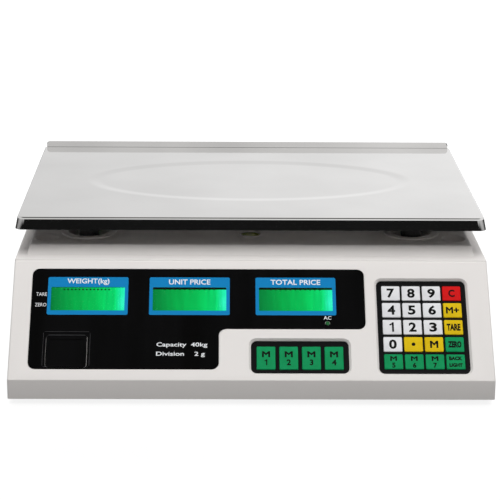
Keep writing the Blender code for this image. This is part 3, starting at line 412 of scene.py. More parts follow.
def fibreglassBoard():
    # Fibreglass circuit board under green solder mask: glossy, with 3 mm copper runs showing lighter.
    material, tree, shader, place = newMaterial("solder_masked_board", IOR=1.5, Roughness=0.3)
    runs = addNode(tree, "TexBrick", {"Vector": place, "Scale": perMm(9), "Mortar Size": 0.05,
                                      "Color1": linear("0C4A22"), "Color2": linear("0E5226"),
                                      "Mortar": linear("1F6B34")}, offset=0.35)
    plug(runs, shader, "Base Color")
    return material


def laminatedCore():
    # Varnished transformer laminations, 0.5 mm sheets seen edge on.
    material, tree, shader, place = newMaterial("varnished_laminations", Metallic=0.6)
    sheets = addNode(tree, "TexWave", {"Vector": place, "Scale": perMm(3.1), "Distortion": 0.4},
                     bands_direction="Y")
    tone = rampStops(addNode(tree, "ValToRGB", {"Fac": sheets.outputs["Fac"]}),
                     [(0.2, linear("2A2622")), (0.8, linear("5A5550"))])
    plug(tone, shader, "Base Color")
    gloss = addNode(tree, "MapRange", {"Value": sheets.outputs["Fac"], "To Min": 0.3, "To Max": 0.55})
    plug(gloss, shader, "Roughness")
    return material


def levelFluid():
    # The spirit level's dyed alcohol behind a clear acrylic face: yellow-green, darker at the rim.
    material, tree, shader, place = newMaterial("level_fluid", IOR=1.36, Roughness=0.08, Coat_Weight=0.6)
    swirl = addNode(tree, "TexNoise", {"Vector": place, "Scale": perMm(6), "Detail": 1.0})
    tone = rampStops(addNode(tree, "ValToRGB", {"Fac": swirl}),
                     [(0.3, linear("8C9440")), (0.7, linear("A9B254"))])
    plug(tone, shader, "Base Color")
    return material


def clearAcrylic():
    # Clear moulded acrylic: a thin, almost invisible window with a soft gloss.
    material, tree, shader, place = newMaterial("clear_acrylic", IOR=1.49, Roughness=0.04,
                                                Transmission_Weight=1.0,
                                                Specular_IOR_Level=0.12)
    haze = addNode(tree, "TexNoise", {"Vector": place, "Scale": perMm(20), "Detail": 2.0})
    tone = rampStops(addNode(tree, "ValToRGB", {"Fac": haze}),
                     [(0.3, linear("FAFDFB")), (0.8, linear("F2F6F4"))])
    plug(tone, shader, "Base Color")
    return material


def nickelPlate(name, colour):
    # Nickel plated steel screws and brass pins: bright, lightly scuffed.
    material, tree, shader, place = newMaterial(name, Metallic=1.0)
    scuffs = addNode(tree, "TexNoise", {"Vector": place, "Scale": perMm(1.2), "Detail": 4.0})
    tone = rampStops(addNode(tree, "ValToRGB", {"Fac": scuffs}),
                     [(0.35, linear(colour)), (0.8, linear("8F8D88"))])
    plug(tone, shader, "Base Color")
    dull = addNode(tree, "MapRange", {"Value": scuffs, "To Min": 0.15, "To Max": 0.4})
    plug(dull, shader, "Roughness")
    return material


coverAbs = mouldedAbs("white_moulded_abs", "EFEBE8", "EAE6E3", 0.42)
trayAbs = mouldedAbs("grey_moulded_abs", "A9A9A6", "9E9E9B", 0.55)
bezelAbs = mouldedAbs("black_moulded_abs", "101011", "0B0B0C", 0.38, 0.35, 0.15)
batteryAbs = mouldedAbs("battery_case_abs", "3A3B3E", "333438", 0.5)
filmBlack = printedFilm()
panSteel = polishedSteel()
spiderCast = castAluminium("die_cast_aluminium", "9A9CA0", 0.5)
cellAluminium = castAluminium("machined_aluminium", "BFC1C4", 0.35)
zincPlate = zincSheet()
footRubber = mouldedRubber()
lcdGlow = backlitLcd()
boardGreen = fibreglassBoard()
coreSteel = laminatedCore()
vialFluid = levelFluid()
clearWindow = clearAcrylic()
screwNickel = nickelPlate("nickel_plated_steel", "C9C6C0")
keyFinish = {
    "white": keyPlastic("white_key_abs", "ECECEE", "E2E2E5"),
    "yellow": keyPlastic("yellow_key_abs", "E6C408", "DCB905"),
    "green": keyPlastic("green_key_abs", "07965A", "058B50"),
    "red": keyPlastic("red_key_abs", "DC1012", "D00C0E"),
}
legendBlack = screenInk("black_legend_ink", "0B0B0B", "161616", 0.45)
printWhite = screenInk("white_print_ink", "F4F6F8", "E4E8EC")
printBlue = screenInk("blue_print_ink", "0886C6", "067CBA")
# grey ink for the blank badge's rings: a painted highlight where its edge and its pocket's step catch the
# light
badgeEdgeHighlight = screenInk("painted_edge_highlight", "48484A", "38383A")
print("materials made")


# Where the faces of the housing are. A face's own axes: x across, y up the slope, z out of it.

coverLow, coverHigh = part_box("top_cover")
panLow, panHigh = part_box("weighing_pan")
housing = {
    "skirtHeight": 0.014, "borderHeight": 0.085, "panelRun": 0.069, "rearLean": 0.0085, "sideChamfer": 0.006,
    "deckHeight": 0.091, "deckMargin": 0.009, "deckFront": -0.0862, "deckRear": 0.157, "riserRun": 1.1,
    "sideRun": 0.25, "rearRun": 0.5, "wall": 0.0025, "crease": 0.0007, "groove": 0.0009,
    "recessDepth": 0.0025, "recessSize": (0.074, 0.026), "recessCentre": (0.095, 0.040),
}
frontY, rearY, footZ = coverLow.y, coverHigh.y, coverLow.z
skirtTop = footZ + housing["skirtHeight"]
rise = housing["borderHeight"] - skirtTop
panelAngle = math.atan2(rise, housing["panelRun"])
panelLength = math.hypot(rise, housing["panelRun"])
rearAngle = math.atan2(rise, housing["rearLean"])
panelFace = Matrix.Translation((0, frontY, skirtTop)) @ Matrix.Rotation(panelAngle, 4, "X")
rearFace = (Matrix.Translation((0, rearY, skirtTop)) @ Matrix.Rotation(math.pi, 4, "Z")
            @ Matrix.Rotation(rearAngle, 4, "X"))
sideFace = (Matrix.Translation((coverHigh.x - housing["recessDepth"], *housing["recessCentre"]))
            @ Matrix.Rotation(math.pi / 2, 4, "Z") @ Matrix.Rotation(math.pi / 2, 4, "X"))
underside = Matrix.Rotation(math.pi, 4, "X")
panCentreY = (panLow.y + panHigh.y) / 2


# The housing's cover

def bodyShape():
    # the side profile with the groove along the panel's upper edge, drawn across the width
    h = housing
    out = (math.cos(panelAngle), math.sin(panelAngle))
    reach = panelLength - 2 * h["groove"]
    slopeTop = (frontY + reach * out[0], skirtTop + reach * out[1])
    grooveFoot = (slopeTop[0] + h["groove"] * (out[0] + 0.3 * out[1]),
                  slopeTop[1] + h["groove"] * (out[1] - 0.9 * out[0]))
    ledge = (frontY + h["panelRun"], h["borderHeight"])
    profile = [(frontY, footZ), (rearY, footZ), (rearY, skirtTop), (rearY - h["rearLean"], h["borderHeight"]),
               ledge, grooveFoot, slopeTop, (frontY, skirtTop)]
    bm = bmesh.new()
    half = coverHigh.x
    side = bm.faces.new([bm.verts.new((-half, y, z)) for y, z in profile])
    across = bmesh.ops.extrude_face_region(bm, geom=[side])["geom"]
    bmesh.ops.translate(bm, vec=(2 * half, 0, 0),
                        verts=[g for g in across if isinstance(g, bmesh.types.BMVert)])
    bmesh.ops.recalc_face_normals(bm, faces=bm.faces)
    rim = [e for e in bm.edges if abs(sum(v.co.x for v in e.verts)) > half
           and any(v.co.z > footZ + 1e-5 for v in e.verts)]
    roundEdges(bm, rim, h["sideChamfer"], 1)
    return bm


def deckShape():
    h = housing
    bm = bmesh.new()
    bmesh.ops.create_cube(bm, size=1)
    low = h["borderHeight"] - 0.0015
    drop = h["deckHeight"] - low
    half = coverHigh.x - h["deckMargin"]
    for corner in bm.verts:
        spread = drop if corner.co.z < 0 else 0
        corner.co.x = math.copysign(half + spread * h["sideRun"], corner.co.x)
        corner.co.y = (h["deckFront"] - spread * h["riserRun"] if corner.co.y < 0
                       else h["deckRear"] + spread * h["rearRun"])
        corner.co.z = low if corner.co.z < 0 else h["deckHeight"]
    return bm


postHole = {"radius": 0.015, "rim": 0.0055, "rise": 0.0011, "drop": 0.011, "round": 0.0006}
screwWell = {"radius": 0.0085, "floor": 0.0052, "depth": 0.011, "lip": 0.0006, "wall": 0.0018}
filmPrint = {"corner": 0.005, "gap": 0.0003, "depth": 0.0008}
padRecess = {"corner": 0.0037, "gap": 0.0003, "lip": 0.0015}
posts = [((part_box("pan_cup_" + name)[0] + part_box("pan_cup_" + name)[1]) / 2).to_2d()
         for name in ("front_left", "front_right", "rear_left", "rear_right")]
wells = [(side * 0.1496, y) for y in (-0.068, 0.143) for side in (-1, 1)]
levelCentre = (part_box("spirit_level")[0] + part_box("spirit_level")[1]) / 2
windows = {"width": 0.0522, "height": 0.0188, "slope": 0.0639, "places": (-0.1160, -0.0439, 0.0315),
           "rearSlope": 0.0315, "rearPlaces": (-0.074, 0, 0.074)}


def padBox(node):
    # a bezel's middle and size on the panel
    low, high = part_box(node)
    bezelLip = 0.0022
    middle = panelFace.inverted() @ ((low + high) / 2)
    return middle.x, high.x - low.x - 2 * bezelLip


numberPad = {"x": padBox("number_pad_bezel")[0], "s": 0.0428, "width": padBox("number_pad_bezel")[1],
             "height": 0.0732}
memoryPad = {"x": padBox("memory_pad_bezel")[0], "s": 0.0187, "width": padBox("memory_pad_bezel")[1],
             "height": 0.0247}


def filmShape(low, high, spread=0.0):
    # the overlay's L, as two plates joined, with a small fillet in the inner corner
    left, right, bottom, top = -0.1558 - spread, 0.0805 + spread, 0.0085 - spread, 0.088 + spread
    notch, step, corner = -0.023 + spread, 0.0402 - spread, filmPrint["corner"] + spread
    bm = bmesh.new()
    outline = [(left, bottom), (notch, bottom), (notch, step), (right, step), (right, top), (left, top)]
    face = bm.faces.new([bm.verts.new((x, y, low)) for x, y in outline])
    raised = bmesh.ops.extrude_face_region(bm, geom=[face])["geom"]
    bmesh.ops.translate(bm, vec=(0, 0, high - low),
                        verts=[g for g in raised if isinstance(g, bmesh.types.BMVert)])
    bmesh.ops.recalc_face_normals(bm, faces=bm.faces)
    upright = [e for e in bm.edges if abs(e.verts[0].co.z - e.verts[1].co.z) > 1e-7]
    return roundEdges(bm, upright, corner, 6)


def coverShell():
    cover = loose("cover_shell", bodyShape())
    bm = bmesh.new()
    bm.from_mesh(cover.data)
    roundEdges(bm, sharpEdges(bm, lambda e: any(v.co.z > footZ + 1e-5 for v in e.verts), 12),
               housing["crease"], 3)
    bm.to_mesh(cover.data)
    bm.free()
    deck = deckShape()
    roundEdges(deck, sharpEdges(deck,
                                lambda e: any(v.co.z > housing["deckHeight"] - 1e-5 for v in e.verts)),
               0.0008, 3)
    combine(cover, [loose("deck", deck)], "UNION")
    bm = bmesh.new()
    bm.from_mesh(cover.data)
    under = [f for f in bm.faces if f.normal.z < -0.99 and f.calc_center_median().z < footZ + 1e-5]
    bmesh.ops.delete(bm, geom=under, context="FACES")
    bm.to_mesh(cover.data)
    bm.free()
    thick = cover.modifiers.new("wall", "SOLIDIFY")
    thick.thickness = housing["wall"]
    thick.offset = -1
    thick.use_even_offset = True
    bake(cover)
    holes = [loose("post_hole", placed(turned([(0, 0.070), (postHole["radius"] + 0.0015, 0.070),
                                               (postHole["radius"] + 0.0015, 0.1), (0, 0.1)]),
                                       Matrix.Translation((x, y, 0)))) for x, y in posts]
    holes += [loose("well_hole", placed(turned([(0, 0.070), (screwWell["radius"] + 0.0003, 0.070),
                                                (screwWell["radius"] + 0.0003, 0.1), (0, 0.1)]),
                                        Matrix.Translation((x, y, 0)))) for x, y in wells]
    holes.append(loose("level_hole", placed(turned([(0, 0.070), (0.0076, 0.070), (0.0076, 0.1), (0, 0.1)]),
                                            Matrix.Translation((levelCentre.x, levelCentre.y, 0)))))
    for pad in (numberPad, memoryPad):
        gap = 2 * padRecess["gap"]
        holes.append(loose("pad_hole", placed(plate(pad["width"] + gap, pad["height"] + gap, -0.006, 0.004,
                                                    padRecess["corner"] + padRecess["gap"],
                                                    (pad["x"], pad["s"])),
                                              panelFace)))
    holes.append(loose("film_pocket",
                       placed(filmShape(-filmPrint["depth"], 0.002, filmPrint["gap"]), panelFace)))
    margin = 0.0018
    for face, places, slope in ((panelFace, windows["places"], windows["slope"]),
                                (rearFace, windows["rearPlaces"], windows["rearSlope"])):
        for x in places:
            holes.append(loose("window_hole",
                               placed(box((windows["width"] + margin, windows["height"] + margin, 0.012),
                                                         (x, slope, 0)), face)))
    holes.append(loose("rear_pocket",
                       placed(plate(0.2366, 0.0486, -0.0008, 0.002, 0.0053, (0, 0.0345)), rearFace)))
    width, height = housing["recessSize"]
    holes.append(loose("side_recess", placed(plate(width, height, 0, 0.006, 0.003), sideFace)))
    combine(cover, holes, "DIFFERENCE")
    bm = bmesh.new()
    bm.from_mesh(cover.data)
    bmesh.ops.remove_doubles(bm, verts=bm.verts, dist=1e-6)
    toPanel = panelFace.inverted()

    def onPadRim(edge):
        ends = [toPanel @ v.co for v in edge.verts]
        if any(abs(end.z) > 2e-5 for end in ends):
            return False
        for pad in (numberPad, memoryPad):
            wide, tall = pad["width"] / 2 + 0.0006, pad["height"] / 2 + 0.0006
            if all(abs(end.x - pad["x"]) < wide and abs(end.y - pad["s"]) < tall for end in ends):
                return True
        return False

    roundEdges(bm, sharpEdges(bm, onPadRim, 60), padRecess["lip"], 1)
    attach(cover, "housing")
    bm.to_mesh(cover.data)
    bm.free()
    cover.data.materials.clear()
    cover.data.materials.append(coverAbs)
    cover.data.shade_smooth()
    cover.data.set_sharp_from_angle(angle=math.radians(28))
    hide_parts("top_cover")
    return cover


def deckRings():
    # the rimmed collars round the posts, the screw wells, and the level's collar
    top = housing["deckHeight"]
    p, w = postHole, screwWell
    crown = top + p["rise"] - p["round"]
    collar = [(p["radius"], top - p["drop"])] + [(p["radius"], crown)]
    collar += arc((p["radius"] + p["round"], crown), p["round"], 180, 90)
    collar += arc((p["radius"] + p["rim"] - p["round"], crown), p["round"], 90, 0)
    collar += [(p["radius"] + p["rim"], top - 0.002), (p["radius"] + 0.0018, top - p["drop"])]
    shapes = [turned(collar, 72, xy) for xy in posts]
    well = [(0.0022, top - w["depth"]), (w["floor"], top - w["depth"])]
    well += [(w["radius"] - 0.0004, top - 0.0004)] + arc((w["radius"] + 0.0005, top - 0.0003), w["lip"],
                                                         170, 20)
    well += [(w["radius"] + w["wall"] * 0.6, top - 0.003), (w["floor"] + w["wall"], top - w["depth"] - 0.002),
             (0.0022, top - w["depth"] - 0.002)]
    shapes += [turned(well, 40, xy) for xy in wells]
    ring = [(0.0074, top - 0.006), (0.0074, top)] + arc((0.0084, top), 0.0009, 180,
                                                        0) + [(0.0094, top - 0.006)]
    shapes.append(turned(ring, 40, (levelCentre.x, levelCentre.y)))
    finishPiece("deck_collars", gather(shapes), coverAbs, "housing")


def crossHeadScrew(radius, height):
    # a pan head, its underside at z = 0; screwSet cuts its cross recess
    head = turned([(0, 0)] + [(radius, 0)] + arc((radius * 0.55, 0), radius * 0.45, 0, 80, 5)
                  + [(0, radius * 0.45)], 24)
    bmesh.ops.scale(head, vec=(1, 1, height / (radius * 0.45)), verts=head.verts)
    return head


def screwSet(name, places, radius, height, body, material):
    # heads with their cross recesses cut
    heads, blades = [], []
    for i, place in enumerate(places):
        heads.append(placed(crossHeadScrew(radius, height), place))
        for turn in (0, math.pi / 2):
            blade = box((radius * 1.15, radius * 0.24, height * 1.2), (0, 0, height * 0.95))
            bmesh.ops.rotate(blade, cent=(0, 0, 0), matrix=Matrix.Rotation(turn + 0.4 * i, 3, "Z"),
                             verts=blade.verts)
            blades.append(loose("blade", placed(blade, place)))
    screws = loose(name, gather(heads))
    combine(screws, blades, "DIFFERENCE")
    screws.data.materials.clear()
    screws.data.materials.append(material)
    screws.data.shade_smooth()
    screws.data.set_sharp_from_angle(angle=math.radians(30))
    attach(screws, body)
    return screws


coverShell()
deckRings()
screwSet("cover_screws", [Matrix.Translation((x, y, housing["deckHeight"] - screwWell["depth"])) for x,
                          y in wells],
         0.0034, 0.0022, "housing", screwNickel)
print("cover made")


# The weighing pan

pan = {"lip": 0.0047, "sheet": 0.0008, "fold": 0.0015, "corner": 0.0055, "lipBend": 0.0003,
       "splay": (0.0016, 0.0003),
       "dish": (0.126, 0.066), "dishSink": 0.0005, "dishSlope": 0.012, "dishRings": 10, "lipCorner": 0.0025}


def extruded(bm, edges, move):
    # pulls a row of open edges out by one step and gives the new row
    made = bmesh.ops.extrude_edge_only(bm, edges=edges)["geom"]
    verts = [g for g in made if isinstance(g, bmesh.types.BMVert)]
    bmesh.ops.translate(bm, vec=move, verts=verts)
    return verts, [g for g in made if isinstance(g, bmesh.types.BMEdge)]


def weighingPan():
    # the sheet's outer skin: front and sides folded down, far edge folded up, the middle pressed into an
    # oval dish
    top = panHigh.z - pan["lip"]
    rearY = panHigh.y - pan["sheet"] - pan["lipBend"]
    width, depth, drop = panHigh.x - panLow.x - 2 * pan["splay"][0], rearY - panLow.y, top - panLow.z
    bm = box((width, depth, drop), (0, panLow.y + depth / 2, top - drop / 2))
    roundEdges(bm, [e for e in bm.edges if all(v.co.y < panLow.y + 1e-5 for v in e.verts)
                    and abs(e.verts[0].co.z - e.verts[1].co.z) > 1e-5], pan["corner"], 8)
    bmesh.ops.delete(bm, geom=[f for f in bm.faces if f.normal.z < -0.9 or f.normal.y > 0.9], context="FACES")
    roundEdges(bm, [e for e in bm.edges if len(e.link_faces) == 2
                    and all(v.co.z > top - 1e-6 for v in e.verts)],
               pan["fold"], 5)
    low = [v for v in bm.verts if v.co.z < panLow.z + 1e-6]
    bmesh.ops.scale(bm, vec=(1 + 2 * pan["splay"][0] / width, 1, 1), verts=low)
    bmesh.ops.scale(bm, vec=(1, 1 + 2 * pan["splay"][1] / depth, 1),
                    space=Matrix.Translation((0, -panCentreY, 0)),
                    verts=[v for v in low if v.co.y < panCentreY])
    roof = max(bm.faces, key=lambda f: f.calc_area())
    roofEdges = list(roof.edges)
    bmesh.ops.delete(bm, geom=[roof], context="FACES_ONLY")
    oval = bmesh.ops.create_circle(bm, segments=128, radius=1)["verts"]
    bmesh.ops.scale(bm, vec=(*pan["dish"], 1), verts=oval)
    bmesh.ops.translate(bm, vec=(0, panCentreY, top), verts=oval)
    edges = list({e for v in oval for e in v.link_edges})
    bmesh.ops.triangle_fill(bm, use_beauty=True, use_dissolve=False, edges=roofEdges + edges,
                            normal=(0, 0, 1))
    rings = pan["dishRings"]
    for ring in range(rings):  # the dish, ring by ring: an S-shaped slope down to a flat floor
        before, now = ring / rings, (ring + 1) / rings
        fall = pan["dishSink"] * (3 * now ** 2 - 2 * now ** 3 - 3 * before ** 2 + 2 * before ** 3)
        shrink = [1 - pan["dishSlope"] / rings / (half - pan["dishSlope"] * before) for half in pan["dish"]]
        verts, edges = extruded(bm, edges, (0, 0, -fall))
        bmesh.ops.scale(bm, vec=(*shrink, 1), space=Matrix.Translation((0, -panCentreY, 0)), verts=verts)
    bmesh.ops.contextual_create(bm, geom=edges)
    far = [e for e in bm.edges if all(v.co.y > rearY - 1e-5 and v.co.z > top - 1e-6 for v in e.verts)]
    steps = arc((rearY, top + pan["lipBend"]), pan["lipBend"], -90, 0,
                5) + [(panHigh.y - pan["sheet"], panHigh.z)]
    for (y, z), (nextY, nextZ) in zip(steps, steps[1:]):
        far = extruded(bm, far, (0, nextY - y, nextZ - z))[1]
    tips = [v for v in bm.verts if v.co.z > panHigh.z - 1e-6]
    bmesh.ops.bevel(bm, geom=tips, offset=pan["lipCorner"], segments=5, profile=0.5, affect="VERTICES",
                    material=-1)
    bmesh.ops.recalc_face_normals(bm, faces=bm.faces)
    if max(bm.faces, key=lambda f: f.calc_area()).normal.z < 0:
        bmesh.ops.reverse_faces(bm, faces=bm.faces)
    sheet = finishPiece("pan_sheet", bm, panSteel, "weighing_pan", ["weighing_pan"], 35)
    thick = sheet.modifiers.new("sheet", "SOLIDIFY")
    thick.thickness = pan["sheet"]
    thick.offset = -1
    bake(sheet)
    sheet.data.set_sharp_from_angle(angle=math.radians(35))
    for polygon in sheet.data.polygons:
        if abs(polygon.normal.z) > 0.99999 or polygon.area > 0.0005:
            polygon.use_smooth = False  # the flats stay truly flat, or the reflection would swim


weighingPan()
print("pan made")


# Key caps, their legends and the bezels round them

keyCap = {"corner": 0.0008, "edge": 0.00045, "rise": -0.0006, "legendLift": 0.00003, "base": -0.0055,
          "bezelLow": -0.0052, "bezelHigh": -0.0012, "lipHigh": -0.0029, "tall": (0.0116, 0.0179),
          "up": (0.0009, -0.0003)}
keyColour = {"c": "red", "m_plus": "yellow", "tare": "yellow", "point": "yellow", "m": "yellow",
             "zero": "green", "light": "green"}
keyColour.update({"m" + str(n): "green" for n in range(1, 8)})
# each legend is a list of (text, capital height, offset up the cap, width or None) in metres
keyLegends = {str(n): [(str(n), 0.0074, 0, None if n == 1 else 0.0054)] for n in range(10)}
keyLegends.update({
    "c": [("C", 0.0059, 0, 0.0046)], "m_plus": [("M+", 0.0053, 0, 0.0093)],
                   "tare": [("TARE", 0.0055, 0, 0.0097)],
    "m": [("M", 0.0056, 0, 0.0058)], "zero": [("ZERO", 0.0051, 0, 0.0094)],
    "light": [("BACK", 0.0029, 0.0026, 0.0092), ("LIGHT", 0.0029, -0.0026, 0.0092)],
})
keyLegends.update({"m" + n: [("M", 0.0037, 0.0024, 0.0047), (n, 0.0039, -0.0028, None)] for n in "567"})
keyLegends.update({"m" + n: [("M", 0.0047, 0.0029, 0.0057), (n, 0.0046, -0.0034, None)] for n in "1234"})


memoryKeys = ["m1", "m2", "m3", "m4"]


def keyCentre(node):
    # where a key stands on the panel's face
    low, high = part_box(node)
    return panelFace.inverted() @ ((low + high) / 2) + Vector((0, keyCap["up"][node[4:] in memoryKeys], 0))


def legend(text, height, centre, width):
    if text != "1":
        return lettering(text, height, centre, width, 0.035 if len(text) < 3 else 0.055)
    stem = box((0.18 * height, height, 0.00004), (0.08 * height, 0, 0.00002))  # a one with a flag
    flag = box((0.34 * height, 0.15 * height, 0.00004), (-0.10 * height, 0, 0.00002))
    bmesh.ops.rotate(flag, cent=(0, 0, 0), matrix=Matrix.Rotation(0.5, 3, "Z"), verts=flag.verts)
    bmesh.ops.translate(flag, vec=(0, 0.34 * height, 0), verts=flag.verts)
    return placed(gather([stem, flag]), Matrix.Translation(centre))


def keyCaps():
    for node in sorted(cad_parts):
        if not node.startswith("key_"):
            continue
        name = node[4:]
        low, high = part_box(node)
        flange = 0.00055
        middle = keyCentre(node)
        wide = high.x - low.x - 2 * flange
        tall = keyCap["tall"][name in memoryKeys]
        base = keyCap["base"]
        cap = plate(wide, tall, base, keyCap["rise"], keyCap["corner"], (middle.x, middle.y),
                    keyCap["edge"], 4)
        skirt = plate(wide + 2 * flange, tall + 2 * flange, base - 0.0010, base + 0.0001, 0.0006,
                      (middle.x, middle.y))
        colour = keyColour.get(name, "white")
        finishPiece("cap_" + name, placed(gather([cap, skirt]), panelFace), keyFinish[colour], node,
                    [node], 50)
        top = keyCap["rise"] + keyCap["legendLift"]
        if name == "point":
            mark = turned([(0, top - 0.0001), (0.00135, top - 0.0001), (0.00135, top + 0.00002),
                           (0, top + 0.00002)],
                          24, (middle.x, middle.y))
        else:
            mark = gather([legend(text, height, (middle.x, middle.y + up, top - 0.00002), width)
                           for text, height, up, width in keyLegends[name]])
        finishPiece("legend_" + name, placed(mark, panelFace), legendBlack, node, (), 0)


def bezel(name, pad, node, keys):
    # a plate with an opening for each key, its rims softened
    low, high = keyCap["bezelLow"], keyCap["bezelHigh"]
    surround = loose(name, plate(pad["width"], pad["height"], low, high, padRecess["corner"],
                                 (pad["x"], pad["s"]), 0.0004))
    lip = plate(pad["width"] + 0.0044, pad["height"] + 0.0044, low, keyCap["lipHigh"], 0.0059,
                (pad["x"], pad["s"]))
    combine(surround, [loose("lip", lip)], "UNION")
    openings = []
    for key in keys:
        capLow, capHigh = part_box("key_" + key)
        middle = keyCentre("key_" + key)
        tall = keyCap["tall"][key in memoryKeys]
        wide = capHigh.x - capLow.x - 2 * 0.00055
        openings.append(loose("opening", plate(wide + 0.0004, tall + 0.0004, -0.008, 0.003, 0.0009,
                                               (middle.x, middle.y), 0, 3)))
    combine(surround, openings, "DIFFERENCE")
    bm = bmesh.new()
    bm.from_mesh(surround.data)
    bpy.data.objects.remove(surround)
    finishPiece(name, placed(bm, panelFace), bezelAbs, "housing", [node], 30)


keyCaps()
keyNames = [n[4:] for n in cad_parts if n.startswith("key_")]
bezel("number_bezel", numberPad, "number_pad_bezel", [k for k in keyNames if k not in memoryKeys])
bezel("memory_bezel", memoryPad, "memory_pad_bezel", memoryKeys)
print("keys made")


# The operator's display: prints on the film, clear windows, the lit glass behind them

framePrint = {"width": 0.0570, "height": 0.0303, "drop": 0.0023, "corner": 0.0012, "depth": 0.00006}


def ringPlate(width, height, hole, holeCentre, centre, low, high, corner):
    # a flat plate with round corners and a rectangular opening
    outer = loose("ring", plate(width, height, low, high, corner, centre, 0, 4))
    inner = loose("hole", plate(hole[0], hole[1], low - 0.001, high + 0.001, 0.0004, holeCentre, 0, 2))
    combine(outer, [inner], "DIFFERENCE")
    bm = bmesh.new()
    bm.from_mesh(outer.data)
    bpy.data.objects.remove(outer)
    return bm


def display(side, face, places, slope, titles, modules):
    w = windows
    frames, letters, panes = [], [], []
    for x, title in zip(places, titles):
        frames.append(ringPlate(framePrint["width"], framePrint["height"], (w["width"], w["height"]),
                                (x, slope),
                                (x, slope + framePrint["drop"]), -0.00001, framePrint["depth"],
                                framePrint["corner"]))
        letters.append(lettering(title[0], title[2],
                                 (x, slope + w["height"] / 2 + 0.0043, framePrint["depth"] - 0.00001),
                                 title[1], 0.02))
        panes.append(box((w["width"] - 0.0003, w["height"] - 0.0003, 0.0004), (x, slope, -0.0003),
                         0.00005, 1))
    finishPiece(side + "_window_frames", placed(gather(frames), face), printBlue, "housing", (), 0)
    finishPiece(side + "_titles", placed(gather(letters), face), printWhite, "housing", (), 0)
    finishPiece(side + "_window_panes", placed(gather(panes), face), clearWindow, "housing", (), 0)
    for node, xs in modules:
        shapes = [box((0.0582, 0.0248, 0.004), (x, slope, -0.0051), 0.0002, 1) for x in xs]
        if len(xs) > 1:
            shapes.append(box((xs[-1] - xs[0], 0.016, 0.003), ((xs[0] + xs[-1]) / 2, slope, -0.0054)))
        lit = gather(shapes)
        layer = lit.loops.layers.uv.new("window")
        for f in lit.faces:
            for corner in f.loops:
                x = min(xs, key=lambda place: abs(place - corner.vert.co.x))
                corner[layer].uv = ((corner.vert.co.x - x) / w["width"] + 0.5,
                                    (corner.vert.co.y - slope) / w["height"] + 0.5)
        finishPiece(node + "_glass", placed(lit, face), lcdGlow, "housing", [node], 0)
        teeth, edge = [], slope + w["height"] / 2
        for x in xs:
            if node == "lcd_weight":  # this glass stands lower, so that only the tips of its contacts show
                teeth += [box((0.0012, 0.0010, 0.0003), (x - 0.0012 + i * 0.00265, edge - 0.0004, -0.0030))
                          for i in range(-6, 7)]
            else:
                teeth.append(box((w["width"] + 0.003, 0.0016, 0.0003), (x, edge + 0.0006, -0.0030)))
                teeth += [box((0.0009, 0.0006, 0.0003),
                              (x + i * 0.0035, edge - 0.0004, -0.0030)) for i in range(-5, 6)]
        finishPiece(node + "_contacts", placed(gather(teeth), face), bezelAbs, "housing", (), 0)


operatorTitles = [("WEIGHT(kg)", 0.0300, 0.0053), ("UNIT PRICE", 0.0295, 0.0042),
                  ("TOTAL PRICE", 0.0355, 0.0042)]
display("front", panelFace, windows["places"], windows["slope"], operatorTitles,
        [("lcd_weight", [windows["places"][0]]), ("lcd_unit_price", [windows["places"][1]]),
         ("lcd_total_price", [windows["places"][2]])])
# seen from the customer's side the readings stand in the same order, from left to right
display("rear", rearFace, windows["rearPlaces"], windows["rearSlope"], operatorTitles,
        [("lcd_customer", list(windows["rearPlaces"]))])


def filmPrints():
    shapes = [lettering("TARE", 0.0028, (-0.1488, 0.0675, 0), 0.0076),
              lettering("ZERO", 0.0028, (-0.1491, 0.0590, 0), 0.0080),
              lettering("Capacity  40kg", 0.0042, (-0.0488, 0.0272, 0), 0.0356, 0.015),
              lettering("Division    2 g", 0.0042, (-0.0497, 0.0200, 0), 0.0340, 0.015),
              lettering("AC", 0.0028, (0.0537, 0.0490, 0), 0.0056, 0.012)]
    finishPiece("film_lettering", placed(gather(shapes), panelFace), printWhite, "housing", (), 0)


def badgeOutlines():
    # grey rings on the black film as a painted highlight: the light caught by the blank badge's moulded edge
    # and by the faint step of the pocket it sits in
    corners = [panelFace.inverted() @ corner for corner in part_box("blank_badge")]
    middle = sum(corners, Vector()) / 2
    width, top = abs(corners[1].x - corners[0].x), badge["top"]
    rings = []
    for spread, line in badge["rings"]:
        wide, high = width + 2 * spread, top + spread - badge["bottom"]
        centre = (middle.x, (top + spread + badge["bottom"]) / 2)
        rings.append(ringPlate(wide, high, (wide - 2 * line, high - 2 * line), centre, centre, 0,
                               badge["rise"], 0.0016))
    finishPiece("badge_outlines", placed(gather(rings), panelFace), badgeEdgeHighlight, "housing", (), 0)


badge = {"top": 0.0352, "bottom": 0.0098, "rise": 0.0006, "rings": ((-0.0004, 0.0003), (0.0022, 0.0002))}
filmPrints()
badgeOutlines()
print("displays made")


# Finishes of the CAD pieces that keep their shape

def finishNodes(finish, *names):
    for name in names:
        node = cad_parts[name]
        node.data.materials.clear()
        node.data.materials.append(finish)


quarters = ("front_left", "front_right", "rear_left", "rear_right")
finishNodes(filmBlack, "front_overlay", "rear_overlay")
finishNodes(filmBlack, "blank_badge")
finishNodes(bezelAbs, "switch_body", "switch_rocker", "mains_inlet")
finishNodes(trayAbs, "base_tray", "battery_door")
finishNodes(footRubber, "keypad_mat", *["pan_cup_" + q for q in quarters],
            *["levelling_foot_" + q for q in quarters])
finishNodes(spiderCast, "platform_spider")
finishNodes(cellAluminium, "load_cell")
finishNodes(zincPlate, "load_cell_spacer", "chassis_plate")
finishNodes(boardGreen, "front_display_board", "rear_display_board", "keypad_board", "main_board")
finishNodes(coreSteel, "transformer")
finishNodes(batteryAbs, "battery")
finishNodes(vialFluid, "spirit_level")


# Floor, lights and camera

studio = {"floor": 24.0, "zenith": 2.74, "zenithAngle": 64, "zenithTilt": (15, 18), "frontDim": 0.085,
          "below": 0.32,
          "steelSky": (0.84, 1.06), "floorGlow": 0.855}


